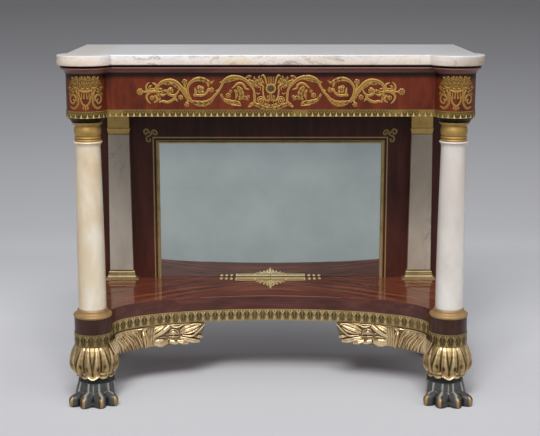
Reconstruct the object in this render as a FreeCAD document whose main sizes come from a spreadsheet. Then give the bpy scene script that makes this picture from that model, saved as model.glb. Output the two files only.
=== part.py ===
"""Pier table: a marble-topped wall table on two stone columns, a concave shelf and carved paw feet.

Frame: X to the right, Y towards the wall, Z up, in millimetres. The origin lies on the floor, in the
middle of the table's overall width and depth. The front of the table faces -Y.
Every driving size is a named cell of the spreadsheet "Sizes"; every other length is worked out from
those cells, and the objects hold it as an expression.
"""

import FreeCAD, Part
import Sketcher
import math
import os

from FreeCAD import Placement, Rotation, Vector

doc = FreeCAD.newDocument("pier_table")

# ---------------------------------------------------------------- driving sizes

SIZES = {
    # whole table
    "table_height": 930.0,
    "column_x": 477.5,  # half the distance between the two column axes
    "column_y": -167.5,
    "side_x": 513.0,  # outer face of the frieze and shelf at either end
    "back_y": 243.5,  # outer face of the back
    "wood_thick": 25.0,
    # marble slab and the board under it
    "marble_thick": 26.0,
    "marble_turret_radius": 74.0,
    "marble_overhang": 21.0,  # past the front and the sides
    "marble_back_overhang": 10.0,
    "sub_top_thick": 6.0,
    "sub_top_inset": 9.0,
    # cornice and frieze
    "cornice_height": 16.0,
    "cornice_reach": 13.0,
    "cornice_fillet": 3.0,
    "cornice_toe": 1.5,
    "cornice_hollow_radius": 19.0,
    "cornice_joint_x": 405.0,
    "frieze_bottom": 770.0,
    "frieze_step": 3.0,  # frieze face in front of the column axes
    "drum_radius": 52.0,
    "frieze_border_height": 17.5,
    "border_thick": 1.0,
    # columns
    "soffit_height": 13.0,
    "soffit_radius": 41.0,
    "capital_height": 51.0,
    "capital_top_radius": 40.0,
    "capital_neck_radius": 34.0,
    "astragal_height": 5.0,
    "astragal_radius": 38.0,
    "shaft_top_radius": 32.8,
    "shaft_foot_radius": 37.2,
    "shaft_foot": 255.0,  # height of the column shaft's foot above the floor
    "base_height": 21.0,
    "base_radius": 52.0,
    "rod_radius": 5.0,
    "rod_clearance": 2.0,
    "nut_width": 16.0,
    "nut_height": 8.0,
    "washer_radius": 14.0,
    "washer_thick": 2.0,
    "nut_pocket_radius": 16.0,
    "nut_pocket_depth": 14.0,
    # shelf
    "shelf_top": 242.0,
    "shelf_board": 14.0,
    "shelf_bottom": 171.0,
    "shelf_border_height": 33.0,
    "fascia_thick": 22.0,
    "shelf_half_hollow": 430.0,  # half the width of the half ellipse cut into the shelf's front
    "shelf_hollow_depth": 150.0,
    "shelf_hollow_set": 20.0,  # the ellipse's centre line behind the column axes
    "shelf_brace_x": 170.0,
    "shelf_brace_height": 28.0,
    "brace_width": 50.0,
    "plinth_radius": 49.5,
    "plinth_bottom": 157.5,
    "plinth_border_height": 34.5,
    # feet
    "knee_bottom": 70.0,
    "knee_radius": 67.0,
    "knee_widest": 103.0,  # height of the knee's widest ring
    "knee_hem_radius": 57.0,
    "ankle_radius": 48.0,
    "paw_radius": 50.0,
    "paw_reach": 88.0,  # claw tips in front of the column axis
    "toe_half_width": 17.0,
    "toe_half_length": 38.0,
    "toe_half_height": 27.0,
    "toe_middle": 17.0,
    "toe_spread": 28.0,  # angle between neighbouring toes
    "foot_turn": 2.7,  # the paw turns a little towards the middle of the table
    "claw_half_width": 7.5,
    "claw_half_length": 9.0,
    "claw_half_height": 17.0,
    "claw_middle": 19.0,
    "claw_proud": 4.0,
    "wing_bottom": 106.0,
    "wing_thick": 34.0,
    "wing_proud": 6.0,
    "wing_tip_x": 187.0,
    "wing_tip_slant": 16.0,
    "wing_root_x": 440.0,
    "rear_foot_radius": 32.0,
    "rear_neck_radius": 22.0,
    "rear_ball_top": 96.0,
    "rear_block_bottom": 122.0,
    # back
    "back_thick": 26.0,
    "opening_half_width": 334.0,
    "opening_top": 654.0,
    "mirror_thick": 4.0,
    "mirror_setback": 5.5,
    "backboard_thick": 8.0,
    "slip_width": 9.0,
    "string_gap": 6.5,
    "string_width": 3.5,
    "string_thick": 0.8,
    "curl_x": 362.0,
    "curl_z": 676.0,
    "curl_radius": 8.0,
    "curl_bore": 3.5,
    "pilaster_x": 441.0,
    "pilaster_top_width": 60.0,
    "pilaster_foot_width": 68.0,
    "pilaster_thick": 20.0,
    "pilaster_foot": 270.0,
    "pilaster_head": 673.0,
    "pilaster_neck_height": 19.0,
    "pilaster_cap_width": 62.0,
    "pilaster_neck_width": 66.0,
    "pilaster_base_width": 102.0,
    "pilaster_torus_height": 9.0,
    "pilaster_torus_width": 77.0,
    "pilaster_base_thick": 30.0,
    # joinery inside the frieze
    "glue_block": 45.0,
    "glue_block_height": 60.0,
}

sheet = doc.addObject("Spreadsheet::Sheet", "Sizes")
for row, (alias, number) in enumerate(SIZES.items(), start=1):
    sheet.set(f"A{row}", alias.replace("_", " "))
    sheet.set(f"B{row}", str(number))
    sheet.setAlias(f"B{row}", alias)
doc.recompute()


class Size:
    """A length that knows both its value and the spreadsheet expression that gives it."""

    def __init__(self, value, text):
        self.value = float(value)
        self.text = text

    def __add__(self, other):
        other = size(other)
        return Size(self.value + other.value, f"({self.text} + {other.text})")

    def __sub__(self, other):
        other = size(other)
        return Size(self.value - other.value, f"({self.text} - {other.text})")

    def __mul__(self, other):
        other = size(other)
        return Size(self.value * other.value, f"({self.text} * {other.text})")

    def __truediv__(self, other):
        other = size(other)
        return Size(self.value / other.value, f"({self.text} / {other.text})")

    def __neg__(self):
        return Size(-self.value, f"(0 - {self.text})")

    def __radd__(self, other):
        return size(other) + self

    def __rsub__(self, other):
        return size(other) - self

    def __rmul__(self, other):
        return size(other) * self


def size(thing):
    """A Size from a Size or a plain number."""
    return thing if isinstance(thing, Size) else Size(thing, repr(float(thing)))


def root(thing):
    return Size(math.sqrt(thing.value), f"sqrt({thing.text})")


def sine(angle):
    return Size(math.sin(math.radians(angle.value)), f"sin({angle.text})")


def cosine(angle):
    return Size(math.cos(math.radians(angle.value)), f"cos({angle.text})")


class Sheet:
    """The spreadsheet's cells as Sizes: cell.table_height and so on."""

    def __getattr__(self, alias):
        return Size(SIZES[alias], f"Sizes.{alias}")


cell = Sheet()
SIDES = (("left", -1), ("right", 1))
MARGIN = 90.0  # how far a cutting block runs past what it cuts

# ---------------------------------------------------------------- heights and faces worked out from the cells

marble_bottom = cell.table_height - cell.marble_thick
rail_top = marble_bottom - cell.sub_top_thick
cornice_bottom = rail_top - cell.cornice_height
frieze_face = cell.column_y - cell.frieze_step
soffit_bottom = cell.frieze_bottom - cell.soffit_height
shaft_top = soffit_bottom - cell.capital_height
plinth_top = cell.shaft_foot - cell.base_height
board_bottom = cell.shelf_top - cell.shelf_board
panel_face = cell.back_y - cell.back_thick
marble_front = frieze_face - cell.marble_overhang
marble_side = cell.side_x + cell.marble_overhang
marble_back = cell.back_y + cell.marble_back_overhang
bore_radius = cell.rod_radius + cell.rod_clearance
inner_side = cell.side_x - cell.wood_thick
curve_y = cell.column_y + cell.shelf_hollow_set
mirror_face = panel_face + cell.mirror_setback
border_drum_radius = cell.drum_radius + cell.border_thick

kept = []  # the objects that become files, in the order they are made


def keep(thing, label):
    """Gives a finished sub-part its own name and puts it on the list to be written."""
    thing.Label = label
    kept.append(thing)
    return thing


# ---------------------------------------------------------------- general makers


def place(thing, x=0.0, y=0.0, z=0.0):
    """Moves an object by expressions, so that it follows the spreadsheet."""
    for axis, amount in (("x", x), ("y", y), ("z", z)):
        amount = size(amount)
        thing.setExpression(f"Placement.Base.{axis}", amount.text)
    return thing


def bar(name, low_x, high_x, low_y, high_y, low_z, high_z):
    """A rectangular bar between two corners."""
    made = doc.addObject("Part::Box", name)
    made.setExpression("Length", size(high_x - low_x).text)
    made.setExpression("Width", size(high_y - low_y).text)
    made.setExpression("Height", size(high_z - low_z).text)
    return place(made, low_x, low_y, low_z)


def rod(name, radius, x, y, low_z, high_z):
    """An upright round bar."""
    made = doc.addObject("Part::Cylinder", name)
    made.setExpression("Radius", size(radius).text)
    made.setExpression("Height", size(high_z - low_z).text)
    return place(made, x, y, low_z)


def cut(name, base, *tools):
    """Base with the tools taken away, one Part::Cut after another."""
    for index, tool in enumerate(tools):
        made = doc.addObject("Part::Cut", f"{name}_cut_{index}")
        made.Base = base
        made.Tool = tool
        base = made
    return base


def joined(name, *pieces):
    made = doc.addObject("Part::MultiFuse", name)
    made.Shapes = list(pieces)
    return made


def together(name, pieces):
    """Several separate solids in one node."""
    made = doc.addObject("Part::Compound", name)
    made.Links = list(pieces)
    return made


def circle_arc(start, end, radius, side):
    """The minor arc from start to end, bulging to the left of the way (side 1) or to its right (side -1)."""
    chord = end - start
    half = chord.Length / 2
    across = Vector(-chord.y, chord.x, 0).normalize()
    centre = (start + end) * 0.5 - across * (side * math.sqrt(radius * radius - half * half))
    first, last = (start, end) if side < 0 else (end, start)
    first_angle = math.atan2(first.y - centre.y, first.x - centre.x)
    last_angle = math.atan2(last.y - centre.y, last.x - centre.x)
    return Part.ArcOfCircle(Part.Circle(centre, Vector(0, 0, 1), radius), first_angle, last_angle)


def draw(sketch, corners):
    """Draws a closed outline in a sketch and holds it by expressions.

    Each corner is (x, y), or (x, y, radius, side) where an arc runs from that corner to the next.
    """
    count = len(corners)
    points = [Vector(size(corner[0]).value, size(corner[1]).value, 0) for corner in corners]
    ends = []  # for each line, the numbers of its first and last vertex along the outline
    for index, corner in enumerate(corners):
        start, end = points[index], points[(index + 1) % count]
        if len(corner) == 2:
            sketch.addGeometry(Part.LineSegment(start, end), False)
            ends.append((1, 2))
        else:
            side = corner[3]
            sketch.addGeometry(circle_arc(start, end, size(corner[2]).value, side), False)
            ends.append((1, 2) if side < 0 else (2, 1))  # arcs are stored anticlockwise
    for index in range(count):
        following = (index + 1) % count
        sketch.addConstraint(
            Sketcher.Constraint("Coincident", index, ends[index][1], following, ends[following][0])
        )
    for index, corner in enumerate(corners):
        vertex = ends[index][0]
        for kind, axis, amount in (("DistanceX", -2, size(corner[0])), ("DistanceY", -1, size(corner[1]))):
            if abs(amount.value) < 1e-9:
                sketch.addConstraint(Sketcher.Constraint("PointOnObject", index, vertex, axis))
                continue
            held = sketch.addConstraint(Sketcher.Constraint(kind, -1, 1, index, vertex, amount.value))
            sketch.setExpression(f"Constraints[{held}]", amount.text)
        if len(corner) > 2:
            radius = size(corner[2])
            held = sketch.addConstraint(Sketcher.Constraint("Radius", index, radius.value))
            sketch.setExpression(f"Constraints[{held}]", radius.text)


def new_body(name, plane, corners):
    """A PartDesign body with one outline drawn on one of its own origin planes."""
    body = doc.addObject("PartDesign::Body", name)
    sketch = body.newObject("Sketcher::SketchObject", f"{name}_outline")
    sketch.AttachmentSupport = [(find_origin(body, plane), "")]
    sketch.MapMode = "FlatFace"
    draw(sketch, corners)
    return body, sketch


def find_origin(body, role):
    for feature in body.Origin.OriginFeatures:
        if feature.Role == role:
            return feature
    raise ValueError(role)


def plate(name, corners, low_z, high_z):
    """An outline on the floor plane, padded upwards between two heights."""
    body, sketch = new_body(name, "XY_Plane", corners)
    pad = body.newObject("PartDesign::Pad", f"{name}_pad")
    pad.Profile = sketch
    pad.setExpression("Length", size(high_z - low_z).text)
    return place(body, 0, 0, low_z)


def upright(name, corners, front_y, back_y, x=0.0):
    """An outline drawn in X and Z, padded from its front face to its back face."""
    body, sketch = new_body(name, "XZ_Plane", corners)
    pad = body.newObject("PartDesign::Pad", f"{name}_pad")
    pad.Profile = sketch
    pad.Reversed = True
    pad.setExpression("Length", size(back_y - front_y).text)
    return place(body, x, front_y, 0)


def turned(name, corners, x, y):
    """A profile of radius and height, turned about an upright axis at x, y."""
    body, sketch = new_body(name, "XZ_Plane", corners)
    spin = body.newObject("PartDesign::Revolution", f"{name}_spin")
    spin.Profile = sketch
    spin.ReferenceAxis = (sketch, ["V_Axis"])
    spin.Angle = 360.0
    return place(body, x, y, 0)


def carved(label, shape):
    """A sub-part whose shape is worked out in this script from the spreadsheet's values."""
    made = doc.addObject("Part::Feature", label)
    made.Shape = shape
    return keep(made, label)


# ---------------------------------------------------------------- slab, board and cornice


def turret_outline(radius, front_y, side_x, back_y):
    """The plan of the slab and the board: straight front and sides, a round turret at each front corner."""
    front_reach = cell.column_y - front_y
    front_x = cell.column_x - root(radius * radius - front_reach * front_reach)
    side_reach = side_x - cell.column_x
    side_y = cell.column_y + root(radius * radius - side_reach * side_reach)
    tip_x = cell.column_x + radius
    tip_y = cell.column_y - radius
    return [
        (-front_x, front_y),
        (front_x, front_y, radius, -1),
        (cell.column_x, tip_y, radius, -1),
        (tip_x, cell.column_y, radius, -1),
        (side_x, side_y),
        (side_x, back_y),
        (-side_x, back_y),
        (-side_x, side_y, radius, -1),
        (-tip_x, cell.column_y, radius, -1),
        (-cell.column_x, tip_y, radius, -1),
    ]


def make_marble_top():
    outline = turret_outline(cell.marble_turret_radius, marble_front, marble_side, marble_back)
    keep(plate("marble_top", outline, marble_bottom, cell.table_height), "marble_top")


def make_sub_top():
    inset = cell.sub_top_inset
    radius = cell.marble_turret_radius - inset
    outline = turret_outline(radius, marble_front + inset, marble_side - inset, cell.back_y)
    keep(plate("sub_top_board", outline, rail_top, marble_bottom), "sub_top_board")


def cornice_section(face, out):
    """The cornice's section: a fillet over a hollow, from the face outwards. out is 1 or -1."""
    reach = face + cell.cornice_reach * out
    lip = rail_top - cell.cornice_fillet
    return [
        (face, cornice_bottom),
        (face + cell.cornice_toe * out, cornice_bottom, cell.cornice_hollow_radius, out),
        (reach - cell.cornice_toe * out, lip),
        (reach, lip),
        (reach, rail_top),
        (face, rail_top),
    ]


def moulding(name, plane, section, length, midplane=False):
    """A straight length of moulding: its section on an upright plane, padded along the plane's normal."""
    body, sketch = new_body(name, plane, section)
    pad = body.newObject("PartDesign::Pad", f"{name}_pad")
    pad.Profile = sketch
    pad.Midplane = midplane
    pad.Reversed = plane == "XZ_Plane"
    pad.setExpression("Length", size(length).text)
    return body


def make_cornice():
    """One moulding runs round the front, the turrets and the sides. It is jointed beside each turret."""
    section = cornice_section(frieze_face, -1)
    lengths = [moulding("cornice_straight", "YZ_Plane", section, 2 * cell.column_x, True)]
    drums = []
    for side, sign in SIDES:
        section = cornice_section(sign * cell.side_x, sign)
        side_run = moulding(f"cornice_run_{side}", "XZ_Plane", section, cell.back_y - cell.column_y)
        ring = turned(
            f"cornice_ring_{side}", cornice_section(cell.drum_radius, 1), sign * cell.column_x, cell.column_y
        )
        lengths += [place(side_run, 0, cell.column_y, 0), ring]
        x = sign * cell.column_x
        drums.append(rod(f"cornice_drum_{side}", cell.drum_radius, x, cell.column_y, cornice_bottom, rail_top))
    inside = bar(
        "cornice_inside", -cell.side_x, cell.side_x, frieze_face, cell.back_y, cornice_bottom, rail_top
    )
    whole = cut("cornice", joined("cornice_lengths", *lengths), inside, *drums)
    middle = bar(
        "cornice_middle",
        -cell.cornice_joint_x,
        cell.cornice_joint_x,
        frieze_face - MARGIN,
        frieze_face,
        cornice_bottom,
        rail_top,
    )
    front = doc.addObject("Part::Common", "cornice_front")
    front.Base = whole
    front.Tool = middle
    keep(front, "cornice_front")
    far_x = cell.column_x + MARGIN
    for side, sign in SIDES:
        low_x, high_x = (-far_x, -cell.cornice_joint_x) if sign < 0 else (cell.cornice_joint_x, far_x)
        end = bar(
            f"cornice_end_{side}", low_x, high_x, cell.column_y - MARGIN, cell.back_y, cornice_bottom, rail_top
        )
        piece = doc.addObject("Part::Common", f"cornice_{side}")
        piece.Base = whole
        piece.Tool = end
        keep(piece, f"cornice_{side}")


# ---------------------------------------------------------------- frieze


def make_frieze():
    """Rails between the drums, the drums themselves, and the glue blocks and braces inside."""
    drums = []
    for side, sign in SIDES:
        x = sign * cell.column_x
        y = cell.column_y
        solid_drum = rod(f"drum_round_{side}", cell.drum_radius, x, y, cell.frieze_bottom, rail_top)
        bore = rod(f"drum_bore_{side}", bore_radius, x, y, cell.frieze_bottom, rail_top)
        pocket_floor = rail_top - cell.nut_pocket_depth
        pocket = rod(f"drum_pocket_{side}", cell.nut_pocket_radius, x, cell.column_y, pocket_floor, rail_top)
        drums.append(solid_drum)
        keep(cut(f"frieze_drum_{side}", solid_drum, bore, pocket), f"frieze_drum_{side}")

    front = bar(
        "front_rail_blank",
        -cell.column_x,
        cell.column_x,
        frieze_face,
        frieze_face + cell.wood_thick,
        cell.frieze_bottom,
        rail_top,
    )
    keep(cut("frieze_rail_front", front, *drums), "frieze_rail_front")

    for (side, sign), drum in zip(SIDES, drums):
        low_x, high_x = (-cell.side_x, -inner_side) if sign < 0 else (inner_side, cell.side_x)
        rail = bar(
            f"side_rail_blank_{side}", low_x, high_x, cell.column_y, panel_face, cell.frieze_bottom, rail_top
        )
        keep(cut(f"frieze_rail_{side}", rail, drum), f"frieze_rail_{side}")


def make_frieze_borders():
    """Thin brass bands along the foot of the frieze, on the front rail and round each drum."""
    top = cell.frieze_bottom + cell.frieze_border_height
    wraps = [
        rod(
            f"border_wrap_{side}",
            border_drum_radius,
            sign * cell.column_x,
            cell.column_y,
            cell.frieze_bottom,
            top,
        )
        for side, sign in SIDES
    ]
    strip = bar(
        "border_strip",
        -cell.column_x,
        cell.column_x,
        frieze_face - cell.border_thick,
        frieze_face,
        cell.frieze_bottom,
        top,
    )
    keep(cut("frieze_border_front", strip, *wraps), "frieze_border_front")
    bands = []
    for (side, sign), wrap in zip(SIDES, wraps):
        x = sign * cell.column_x
        core = rod(f"border_core_{side}", cell.drum_radius, x, cell.column_y, cell.frieze_bottom, top)
        behind = bar(
            f"border_behind_{side}",
            -cell.side_x,
            cell.side_x,
            frieze_face - cell.border_thick,
            cell.column_y + MARGIN,
            cell.frieze_bottom,
            top,
        )
        bands.append(cut(f"drum_border_{side}", wrap, core, behind))
    keep(together("drum_borders", bands), "drum_borders")


def make_inner_blocks():
    """Glue blocks in the back corners of the frieze, and two braces that carry the board under the slab."""
    block_bottom = rail_top - cell.glue_block_height
    blocks = []
    for side, sign in SIDES:
        corner_x = sign * inner_side
        section = [
            (corner_x, panel_face),
            (corner_x, panel_face - cell.glue_block),
            (corner_x - sign * cell.glue_block, panel_face),
        ]
        blocks.append(plate(f"glue_block_{side}", section, block_bottom, rail_top))
    keep(together("glue_blocks", blocks), "glue_blocks")
    braces = []
    for side, sign in SIDES:
        middle = sign * cell.shelf_brace_x
        braces.append(
            bar(
                f"top_brace_{side}",
                middle - cell.brace_width / 2,
                middle + cell.brace_width / 2,
                frieze_face + cell.wood_thick,
                panel_face,
                rail_top - cell.wood_thick,
                rail_top,
            )
        )
    keep(together("top_braces", braces), "top_braces")


# ---------------------------------------------------------------- columns


def make_column(side, sign):
    """Everything that is threaded on one iron tie rod between the frieze drum and the shelf drum."""
    x, y = sign * cell.column_x, cell.column_y
    bore = rod(f"stack_bore_{side}", bore_radius, x, y, cell.plinth_bottom, rail_top)

    soffit = [
        (0, soffit_bottom),
        (cell.soffit_radius, soffit_bottom, cell.soffit_height, 1),
        (cell.drum_radius, cell.frieze_bottom),
        (0, cell.frieze_bottom),
    ]
    soffit_round = turned(f"soffit_round_{side}", soffit, x, y)
    keep(cut(f"drum_soffit_{side}", soffit_round, bore), f"drum_soffit_{side}")

    top, low = cell.capital_top_radius, cell.capital_neck_radius
    capital = [
        (0, shaft_top),
        (low, shaft_top),
        (low, shaft_top + 7),
        (low + 1.5, shaft_top + 7),
        (low + 1.5, shaft_top + 18),
        (low + 3, shaft_top + 20, 9.0, -1),
        (low + 3, shaft_top + 33),
        (low + 0.7, shaft_top + 35),
        (low + 0.7, shaft_top + 40, 10.0, 1),
        (top - 1, shaft_top + 47),
        (top, shaft_top + 47),
        (top, soffit_bottom),
        (0, soffit_bottom),
    ]
    solid = turned(f"capital_round_{side}", capital, x, y)
    keep(cut(f"column_capital_{side}", solid, bore), f"column_capital_{side}")

    astragal_foot = shaft_top - cell.astragal_height
    bead = cell.astragal_height / 2
    shaft = [
        (0, cell.shaft_foot),
        (cell.shaft_foot_radius, cell.shaft_foot),
        (cell.shaft_top_radius, astragal_foot - 5, 12.0, 1),
        (cell.astragal_radius - 2, astragal_foot),
        (cell.astragal_radius - bead, astragal_foot, bead + 0.01, -1),
        (cell.astragal_radius - bead, shaft_top),
        (0, shaft_top),
    ]
    keep(cut(f"column_shaft_{side}", turned(f"shaft_round_{side}", shaft, x, y), bore), f"column_shaft_{side}")

    wide, ring = cell.base_radius, cell.astragal_radius
    base = [
        (0, plinth_top),
        (wide - 2, plinth_top, 4.0, -1),
        (wide - 2, plinth_top + 6, 14.0, 1),
        (ring + 1, cell.shaft_foot - 4),
        (ring + 2, cell.shaft_foot - 4),
        (ring + 2, cell.shaft_foot),
        (0, cell.shaft_foot),
    ]
    keep(cut(f"column_base_{side}", turned(f"base_round_{side}", base, x, y), bore), f"column_base_{side}")

    drum = rod(f"plinth_round_{side}", cell.plinth_radius, x, y, cell.plinth_bottom, plinth_top)
    pocket_top = cell.plinth_bottom + cell.nut_pocket_depth
    pocket = rod(f"plinth_pocket_{side}", cell.nut_pocket_radius, x, y, cell.plinth_bottom, pocket_top)
    keep(cut(f"plinth_drum_{side}", drum, bore, pocket), f"plinth_drum_{side}")


def make_plinth_border(side, sign):
    """A brass band round the foot of a shelf drum, open where the shelf meets it."""
    x, y = sign * cell.column_x, cell.column_y
    band_top = cell.plinth_bottom + cell.plinth_border_height
    band_radius = cell.plinth_radius + cell.border_thick
    wrap = rod(f"plinth_wrap_{side}", band_radius, x, y, cell.plinth_bottom, band_top)
    core = rod(f"plinth_core_{side}", cell.plinth_radius, x, y, cell.plinth_bottom, band_top)
    behind = bar(
        f"plinth_behind_{side}",
        -cell.side_x,
        cell.side_x,
        curve_y - cell.border_thick,
        curve_y + MARGIN,
        cell.plinth_bottom,
        band_top,
    )
    return cut(f"plinth_border_{side}", wrap, core, behind)


def make_tie_rods():
    """Iron rods through the columns, each drawn tight by a nut and washer at both ends."""
    low_seat = cell.plinth_bottom + cell.nut_pocket_depth
    high_seat = rail_top - cell.nut_pocket_depth
    rods, nuts, washers = [], [], []
    for side, sign in SIDES:
        x, y = sign * cell.column_x, cell.column_y
        rods.append(rod(f"tie_rod_{side}", cell.rod_radius, x, y, cell.plinth_bottom + 1, rail_top - 1))
        for level, seat, way in (("low", low_seat, -1), ("high", high_seat, 1)):
            washer_far = seat + way * cell.washer_thick
            nut_far = washer_far + way * cell.nut_height
            washer_low, washer_high = (seat, washer_far) if way > 0 else (washer_far, seat)
            nut_low, nut_high = (washer_far, nut_far) if way > 0 else (nut_far, washer_far)
            name = f"{side}_{level}"
            through = rod(f"rod_space_{name}", cell.rod_radius, x, y, nut_low - MARGIN, nut_high + MARGIN)
            disc = rod(f"washer_disc_{name}", cell.washer_radius, x, y, washer_low, washer_high)
            washers.append(cut(f"washer_{name}", disc, through))
            hexagon = doc.addObject("Part::Prism", f"nut_blank_{name}")
            hexagon.Polygon = 6
            hexagon.setExpression("Circumradius", (cell.nut_width / 2).text)
            hexagon.setExpression("Height", cell.nut_height.text)
            place(hexagon, x, y, nut_low)
            nuts.append(cut(f"nut_{name}", hexagon, through))
    keep(together("tie_rods", rods), "tie_rods")
    keep(together("tie_rod_nuts", nuts), "tie_rod_nuts")
    keep(together("tie_rod_washers", washers), "tie_rod_washers")


# ---------------------------------------------------------------- shelf


def ellipse_block(name, grow, low_z, high_z):
    """An upright elliptical block in the shelf's hollow, grown outwards by the given distance."""
    ring = doc.addObject("Part::Ellipse", f"{name}_line")
    ring.setExpression("MajorRadius", (cell.shelf_half_hollow + grow).text)
    ring.setExpression("MinorRadius", (cell.shelf_hollow_depth + grow).text)
    place(ring, 0, curve_y, low_z)
    block = doc.addObject("Part::Extrusion", name)
    block.Base = ring
    block.DirMode = "Custom"
    block.Dir = Vector(0, 0, 1)
    block.Solid = True
    block.setExpression("LengthFwd", size(high_z - low_z).text)
    return block


def hollow_band(name, inner_grow, outer_grow, low_z, high_z, *tools):
    """A band that follows the back half of the ellipse between two distances from it."""
    outer = ellipse_block(f"{name}_outer", size(outer_grow), low_z, high_z)
    inner = ellipse_block(f"{name}_inner", size(inner_grow), low_z, high_z)
    half_width = cell.shelf_half_hollow + MARGIN
    before = bar(f"{name}_before", -half_width, half_width, curve_y - 3 * MARGIN, curve_y, low_z, high_z)
    return cut(name, outer, inner, before, *tools)


def make_shelf():
    stacks = []  # what the shelf has to clear: the drums, and the column bases above them
    for side, sign in SIDES:
        x = sign * cell.column_x
        y = cell.column_y
        stacks.append(rod(f"shelf_drum_{side}", cell.plinth_radius, x, y, cell.plinth_bottom, plinth_top))
        stacks.append(rod(f"shelf_base_{side}", cell.base_radius + 0.5, x, y, plinth_top, cell.shaft_foot))

    fascia = hollow_band("fascia", 0, cell.fascia_thick, cell.shelf_bottom, cell.shelf_top, *stacks)
    keep(fascia, "shelf_fascia")

    # the board and the side rails are let in round the pilaster bases
    housings = [
        bar(
            f"board_housing_{side}",
            sign * cell.pilaster_x - cell.pilaster_base_width / 2,
            sign * cell.pilaster_x + cell.pilaster_base_width / 2,
            panel_face - cell.pilaster_base_thick,
            panel_face,
            board_bottom,
            cell.shelf_top,
        )
        for side, sign in SIDES
    ]
    blank = bar("board_blank", -inner_side, inner_side, curve_y, panel_face, board_bottom, cell.shelf_top)
    hollow = ellipse_block("board_hollow", cell.fascia_thick, board_bottom, cell.shelf_top)
    keep(cut("board", blank, hollow, *stacks, *housings), "shelf_board")

    for side, sign in SIDES:
        low_x, high_x = (-cell.side_x, -inner_side) if sign < 0 else (inner_side, cell.side_x)
        low, high = cell.shelf_bottom, cell.shelf_top
        rail = bar(f"shelf_side_blank_{side}", low_x, high_x, cell.column_y, panel_face, low, high)
        keep(cut(f"shelf_side_cut_{side}", rail, *stacks, *housings), f"shelf_side_{side}")

    border_top = cell.shelf_bottom + cell.shelf_border_height
    wraps = [
        rod(
            f"shelf_wrap_{side}",
            cell.plinth_radius + cell.border_thick,
            sign * cell.column_x,
            cell.column_y,
            cell.shelf_bottom,
            border_top,
        )
        for side, sign in SIDES
    ]
    border = hollow_band("shelf_brass", -cell.border_thick, 0, cell.shelf_bottom, border_top, *wraps)
    keep(border, "shelf_border")

    braces = []
    for side, sign in SIDES:
        middle = sign * cell.shelf_brace_x
        blank = bar(
            f"shelf_brace_blank_{side}",
            middle - cell.brace_width / 2,
            middle + cell.brace_width / 2,
            curve_y,
            panel_face,
            board_bottom - cell.shelf_brace_height,
            board_bottom,
        )
        behind = ellipse_block(
            f"shelf_brace_end_{side}", cell.fascia_thick, board_bottom - cell.shelf_brace_height, board_bottom
        )
        braces.append(cut(f"shelf_brace_{side}", blank, behind))
    keep(together("shelf_braces", braces), "shelf_braces")


# ---------------------------------------------------------------- back, mirror and pilasters


def make_back(line):
    """Two stiles and two rails. The brass line lies in a groove in the stiles and the top rail."""
    for side, sign in SIDES:
        low_x, high_x = (cell.opening_half_width, cell.side_x)
        if sign < 0:
            low_x, high_x = -high_x, -low_x
        stile = bar(f"stile_blank_{side}", low_x, high_x, panel_face, cell.back_y, cell.shelf_bottom, rail_top)
        keep(cut(f"stile_{side}", stile, line), f"back_stile_{side}")
    half_width = cell.opening_half_width
    low_z = cell.opening_top
    top_rail = bar("top_rail_blank", -half_width, half_width, panel_face, cell.back_y, low_z, rail_top)
    keep(cut("top_rail", top_rail, line), "back_rail_top")
    low, high = cell.shelf_bottom, cell.shelf_top
    bottom_rail = bar("back_rail_bottom", -half_width, half_width, panel_face, cell.back_y, low, high)
    keep(bottom_rail, "back_rail_bottom")


def arch_outline(half_width, top, width):
    """A frame of three strips, open at the bottom, round the mirror's opening."""
    inner, inner_top = half_width - width, top - width
    return [
        (-half_width, cell.shelf_top),
        (-inner, cell.shelf_top),
        (-inner, inner_top),
        (inner, inner_top),
        (inner, cell.shelf_top),
        (half_width, cell.shelf_top),
        (half_width, top),
        (-half_width, top),
    ]


def make_stringing():
    """A brass line let in flush round the mirror."""
    half_width = cell.opening_half_width + cell.string_gap + cell.string_width
    top = cell.opening_top + cell.string_gap + cell.string_width
    outline = arch_outline(half_width, top, cell.string_width)
    strip = upright("mirror_stringing", outline, panel_face, panel_face + cell.string_thick)
    return keep(strip, "mirror_stringing")


def make_mirror():
    half_width = cell.opening_half_width - 1
    low, high = cell.shelf_top + 1, cell.opening_top - 1
    glass_back = mirror_face + cell.mirror_thick
    keep(bar("mirror_plate", -half_width, half_width, mirror_face, glass_back, low, high), "mirror_plate")
    board_back = glass_back + cell.backboard_thick
    backboard = bar("mirror_backboard", -half_width, half_width, glass_back, board_back, low, high)
    keep(backboard, "mirror_backboard")

    slip = arch_outline(cell.opening_half_width, cell.opening_top, cell.slip_width)
    keep(upright("mirror_slip", slip, panel_face, mirror_face), "mirror_slip")


def make_curls():
    """A trefoil of three brass rings outside each top corner of the mirror."""
    trefoils = []
    for side, sign in SIDES:
        discs, holes = [], []
        for lobe in range(3):
            turn = math.radians(90 + 120 * lobe)
            centre_x = sign * (cell.curl_x + cell.curl_radius * math.cos(turn))
            centre_z = cell.curl_z + cell.curl_radius * math.sin(turn)
            for group, radius, depth in ((discs, cell.curl_radius, 0.0), (holes, cell.curl_bore, 1.0)):
                disc = doc.addObject("Part::Cylinder", f"curl_{side}_{lobe}_{len(discs)}_{len(holes)}")
                disc.setExpression("Radius", radius.text)
                disc.setExpression("Height", (cell.string_thick + 2 * depth).text)
                disc.Placement = Placement(Vector(), Rotation(Vector(1, 0, 0), 90))
                group.append(place(disc, centre_x, panel_face + depth, centre_z))
        trefoils.append(cut(f"curl_cut_{side}", joined(f"curl_{side}", *discs), *holes))
    keep(together("mirror_curls", trefoils), "mirror_curls")


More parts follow.
